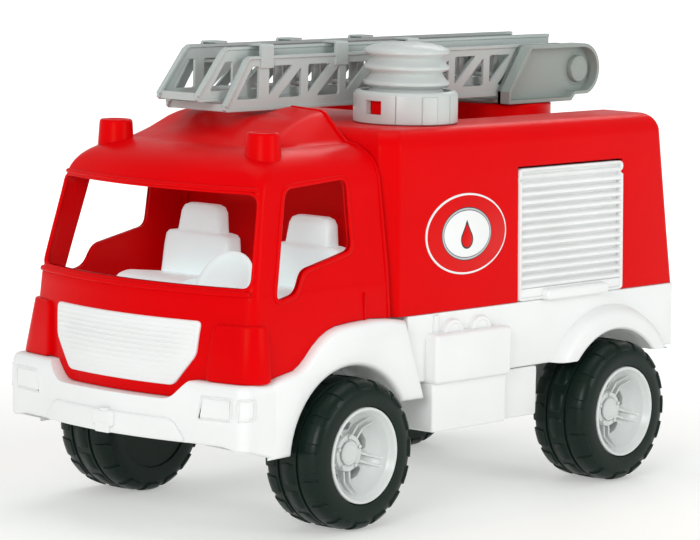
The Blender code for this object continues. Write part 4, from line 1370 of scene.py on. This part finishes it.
def ladders():
    piece("look_cradle", cradle(), "dark_grey_plastic", "turntable", ["turntable_cradle"], 32)
    for side, sign in SIDES.items():
        name = f"ladder_pivot_pin_{side}"
        piece(f"look_{name}", pivot_pin(sign), "dark_grey_plastic", "turntable", [name], 30)
    for end, shape, body in (("lower", ladder_lower, "ladder"), ("upper", ladder_upper, "ladder_extension")):
        piece(f"look_ladder_{end}", shape(), "ladder_grey_plastic", body, [f"ladder_{end}"], 35)


# ---------------------------------------------------------------- pump


def bellows():
    """A domed cap over four folds, each flaring out slowly and tucking in sharply."""
    crest, waist = 25.7, 21.4
    top, foot = PUMP_TOP_Z, PUMP_FOOT_Z
    outer = [
        (0, top), (8, top - 0.1), (15, top - 0.8), (20.5, top - 2.0), (24.2, top - 3.5), (25.4, top - 4.4),
        (crest, top - 5.2), (crest - 0.1, top - 6.4), (crest - 0.9, top - 7.2),
    ]
    fold = [(1.5, 3.9), (0.3, 4.6), (0.0, 5.3), (0.1, 6.5), (0.9, 7.3)]
    for i in range(4):
        z = top - 9.2 - 9.3 * i
        outer += [(waist + 0.5, z + 0.75), (waist, z), (waist + 0.6, z - 0.7)]
        if z - 8 > foot:
            outer += [(crest - inset, z - drop) for inset, drop in fold]
    outer.append((waist + 1.2, foot))
    inner = [(18.5, foot), (18.5, top - 8), (0, top - 8)]
    return lathe(outer + inner, "z", PUMP_X, PUMP_Y, 96)


def collar_block(angle, half_angle, inner, outer, low, high):
    """A block between two radii round the pump, spanning twice the half angle."""
    steps = max(1, round(half_angle / 3))
    rings = []
    for k in range(-steps, steps + 1):
        turn = math.radians(angle + half_angle * k / steps)
        u, v = math.cos(turn), math.sin(turn)
        rings.append([(PUMP_X + r * u, PUMP_Y + r * v, z) for r, z in rectangle(inner, outer, low, high)])
    return loft(rings)


def collar():
    """A chamfered ring with a small window, raised pads and fine seams."""
    low, high = COLLAR_Z, COLLAR_Z + 19.2
    profile = [
        (27.4, low), (30.7, low), (31.3, low + 0.5), (31.2, high - 3.0), (30.8, high - 1.5),
        (29.8, high - 0.4), (28.6, high), (27.2, high), (26.9, high - 1), (27.4, high - 4),
    ]
    cuts = [collar_block(-87.5, 10.6, 22, 40, low + 5.6, low + 13.8)]
    for angle in (-60, 8.5, 60, 128.5, 180, 236.5):
        cuts.append(collar_block(angle, 0.45, 30.7, 33, low - 1, high + 1))
    base = lathe(profile, "z", PUMP_X, PUMP_Y, 96)
    pads = [collar_block(angle, 9.0, 29.5, 31.9, low + 0.3, high - 2.6) for angle in (-21.5, 98.5, 203.0)]
    return join(combine(base, [(CUT, cut) for cut in cuts]), *pads)


def pump():
    obj = piece("look_bellows", bellows(), "pale_grey_plastic", "pump_top", ["pump_bellows"], 40)
    anchor = metres((PUMP_X, PUMP_Y, PUMP_TOP_Z))
    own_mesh(obj)
    piece("look_collar", collar(), "pale_grey_plastic", "truck", ["pump_collar"], 30)
    top = COLLAR_Z + 14.6
    profile = [(0, 223), (27.0, 223), (27.0, top - 0.6), (26.4, top), (26.1, top), (26.1, 224), (0, 224)]
    piece("look_pump_seat", lathe(profile, "z", PUMP_X, PUMP_Y, 64), "red_plastic", "truck", smooth=30)


# ---------------------------------------------------------------- stage


def carried_nodes():
    """Gives every CAD node that still shows the material of its slot."""
    for part in frame["record"]["subparts"]:
        node = frame["nodes"][part["node"]]
        if node.hide_render:
            continue
        node.data.materials.clear()
        node.data.materials.append(MATERIALS[part["material_slot"]])


def softbox(name, location, target, size, power):
    light = bpy.data.lights.new(name, "AREA")
    light.shape = "RECTANGLE"
    light.size, light.size_y = size
    light.energy = power
    obj = bpy.data.objects.new(name, light)
    obj.location = location
    obj.rotation_euler = (Vector(target) - Vector(location)).to_track_quat("-Z", "Y").to_euler()
    bpy.context.scene.collection.objects.link(obj)


def studio():
    """A pale floor whose painted glow grows away from the toy, leaving painted shade near it, an even white
    world and four soft lights.
    """
    floor_mesh = bmesh.new()
    bmesh.ops.create_grid(floor_mesh, x_segments=1, y_segments=1, size=20.0)
    floor = scene_object("floor", floor_mesh)
    material, tree, shader = node_tree("floor_painted_glow")
    set_inputs(shader, {"Base Color": (0.62, 0.635, 0.61, 1), "Emission Color": (1, 1, 1, 1)})
    tree.links.new(spread(tree, noise(tree, 3), 0.55, 0.65), shader.inputs["Roughness"])
    # Painted glow: emission grows from 0.36 near the toy to 0.85 about a metre off, a painted light falloff
    # that leaves painted shade round the toy.
    geometry = tree.nodes.new("ShaderNodeNewGeometry")
    away = tree.nodes.new("ShaderNodeVectorMath")
    away.operation = "LENGTH"
    tree.links.new(geometry.outputs["Position"], away.inputs[0])
    glow = spread(tree, away.outputs["Value"], 0.36, 0.85, (0.25, 1.1))
    tree.links.new(glow, shader.inputs["Emission Strength"])
    floor.data.materials.append(material)
    world = bpy.data.worlds.new("studio")
    bpy.context.scene.world = world
    world.use_nodes = True
    set_inputs(world.node_tree.nodes["Background"], {"Color": (1, 1, 1, 1), "Strength": 0.5})
    softbox("key", (0.9, -1.9, 0.9), (0, 0, 0.12), (0.7, 0.7), 16.5)
    softbox("side", (1.8, 0.4, 0.8), (0, 0, 0.12), (0.6, 0.9), 9)
    softbox("top", (-0.2, 0.0, 1.9), (0, 0, 0), (1.2, 1.2), 7)
    softbox("rear", (-0.6, 1.5, 1.3), (0, 0, 0.1), (1.0, 0.4), 5)
    bpy.context.scene.view_settings.view_transform = "Standard"


def camera():
    """The viewpoint: azimuth round from the front, elevation above the floor, a slight roll."""
    azimuth, elevation, roll = (math.radians(a) for a in (41.72, 6.80, 1.116))
    aim = Vector((-11.97, -6.6, 131.3))
    distance = 2189.3
    flat = math.cos(elevation)
    back = Vector((math.sin(azimuth) * flat, -math.cos(azimuth) * flat, math.sin(elevation)))
    right = Vector((math.cos(azimuth), math.sin(azimuth), 0))
    up = back.cross(right)
    turned_right = right * math.cos(roll) + up * math.sin(roll)
    turned_up = up * math.cos(roll) - right * math.sin(roll)
    lens = bpy.data.cameras.new("camera")
    lens.sensor_width = 36
    lens.lens = 183.3
    obj = bpy.data.objects.new("camera", lens)
    bpy.context.scene.collection.objects.link(obj)
    obj.matrix_world = Matrix((turned_right, turned_up, back)).transposed().to_4x4()
    obj.location = metres(aim + back * distance)
    bpy.context.scene.camera = obj


wheels()
chassis()
cab()
grille()
cab_inside()
equipment_box()
box_fittings()
ladders()
pump()
carried_nodes()
studio()
camera()
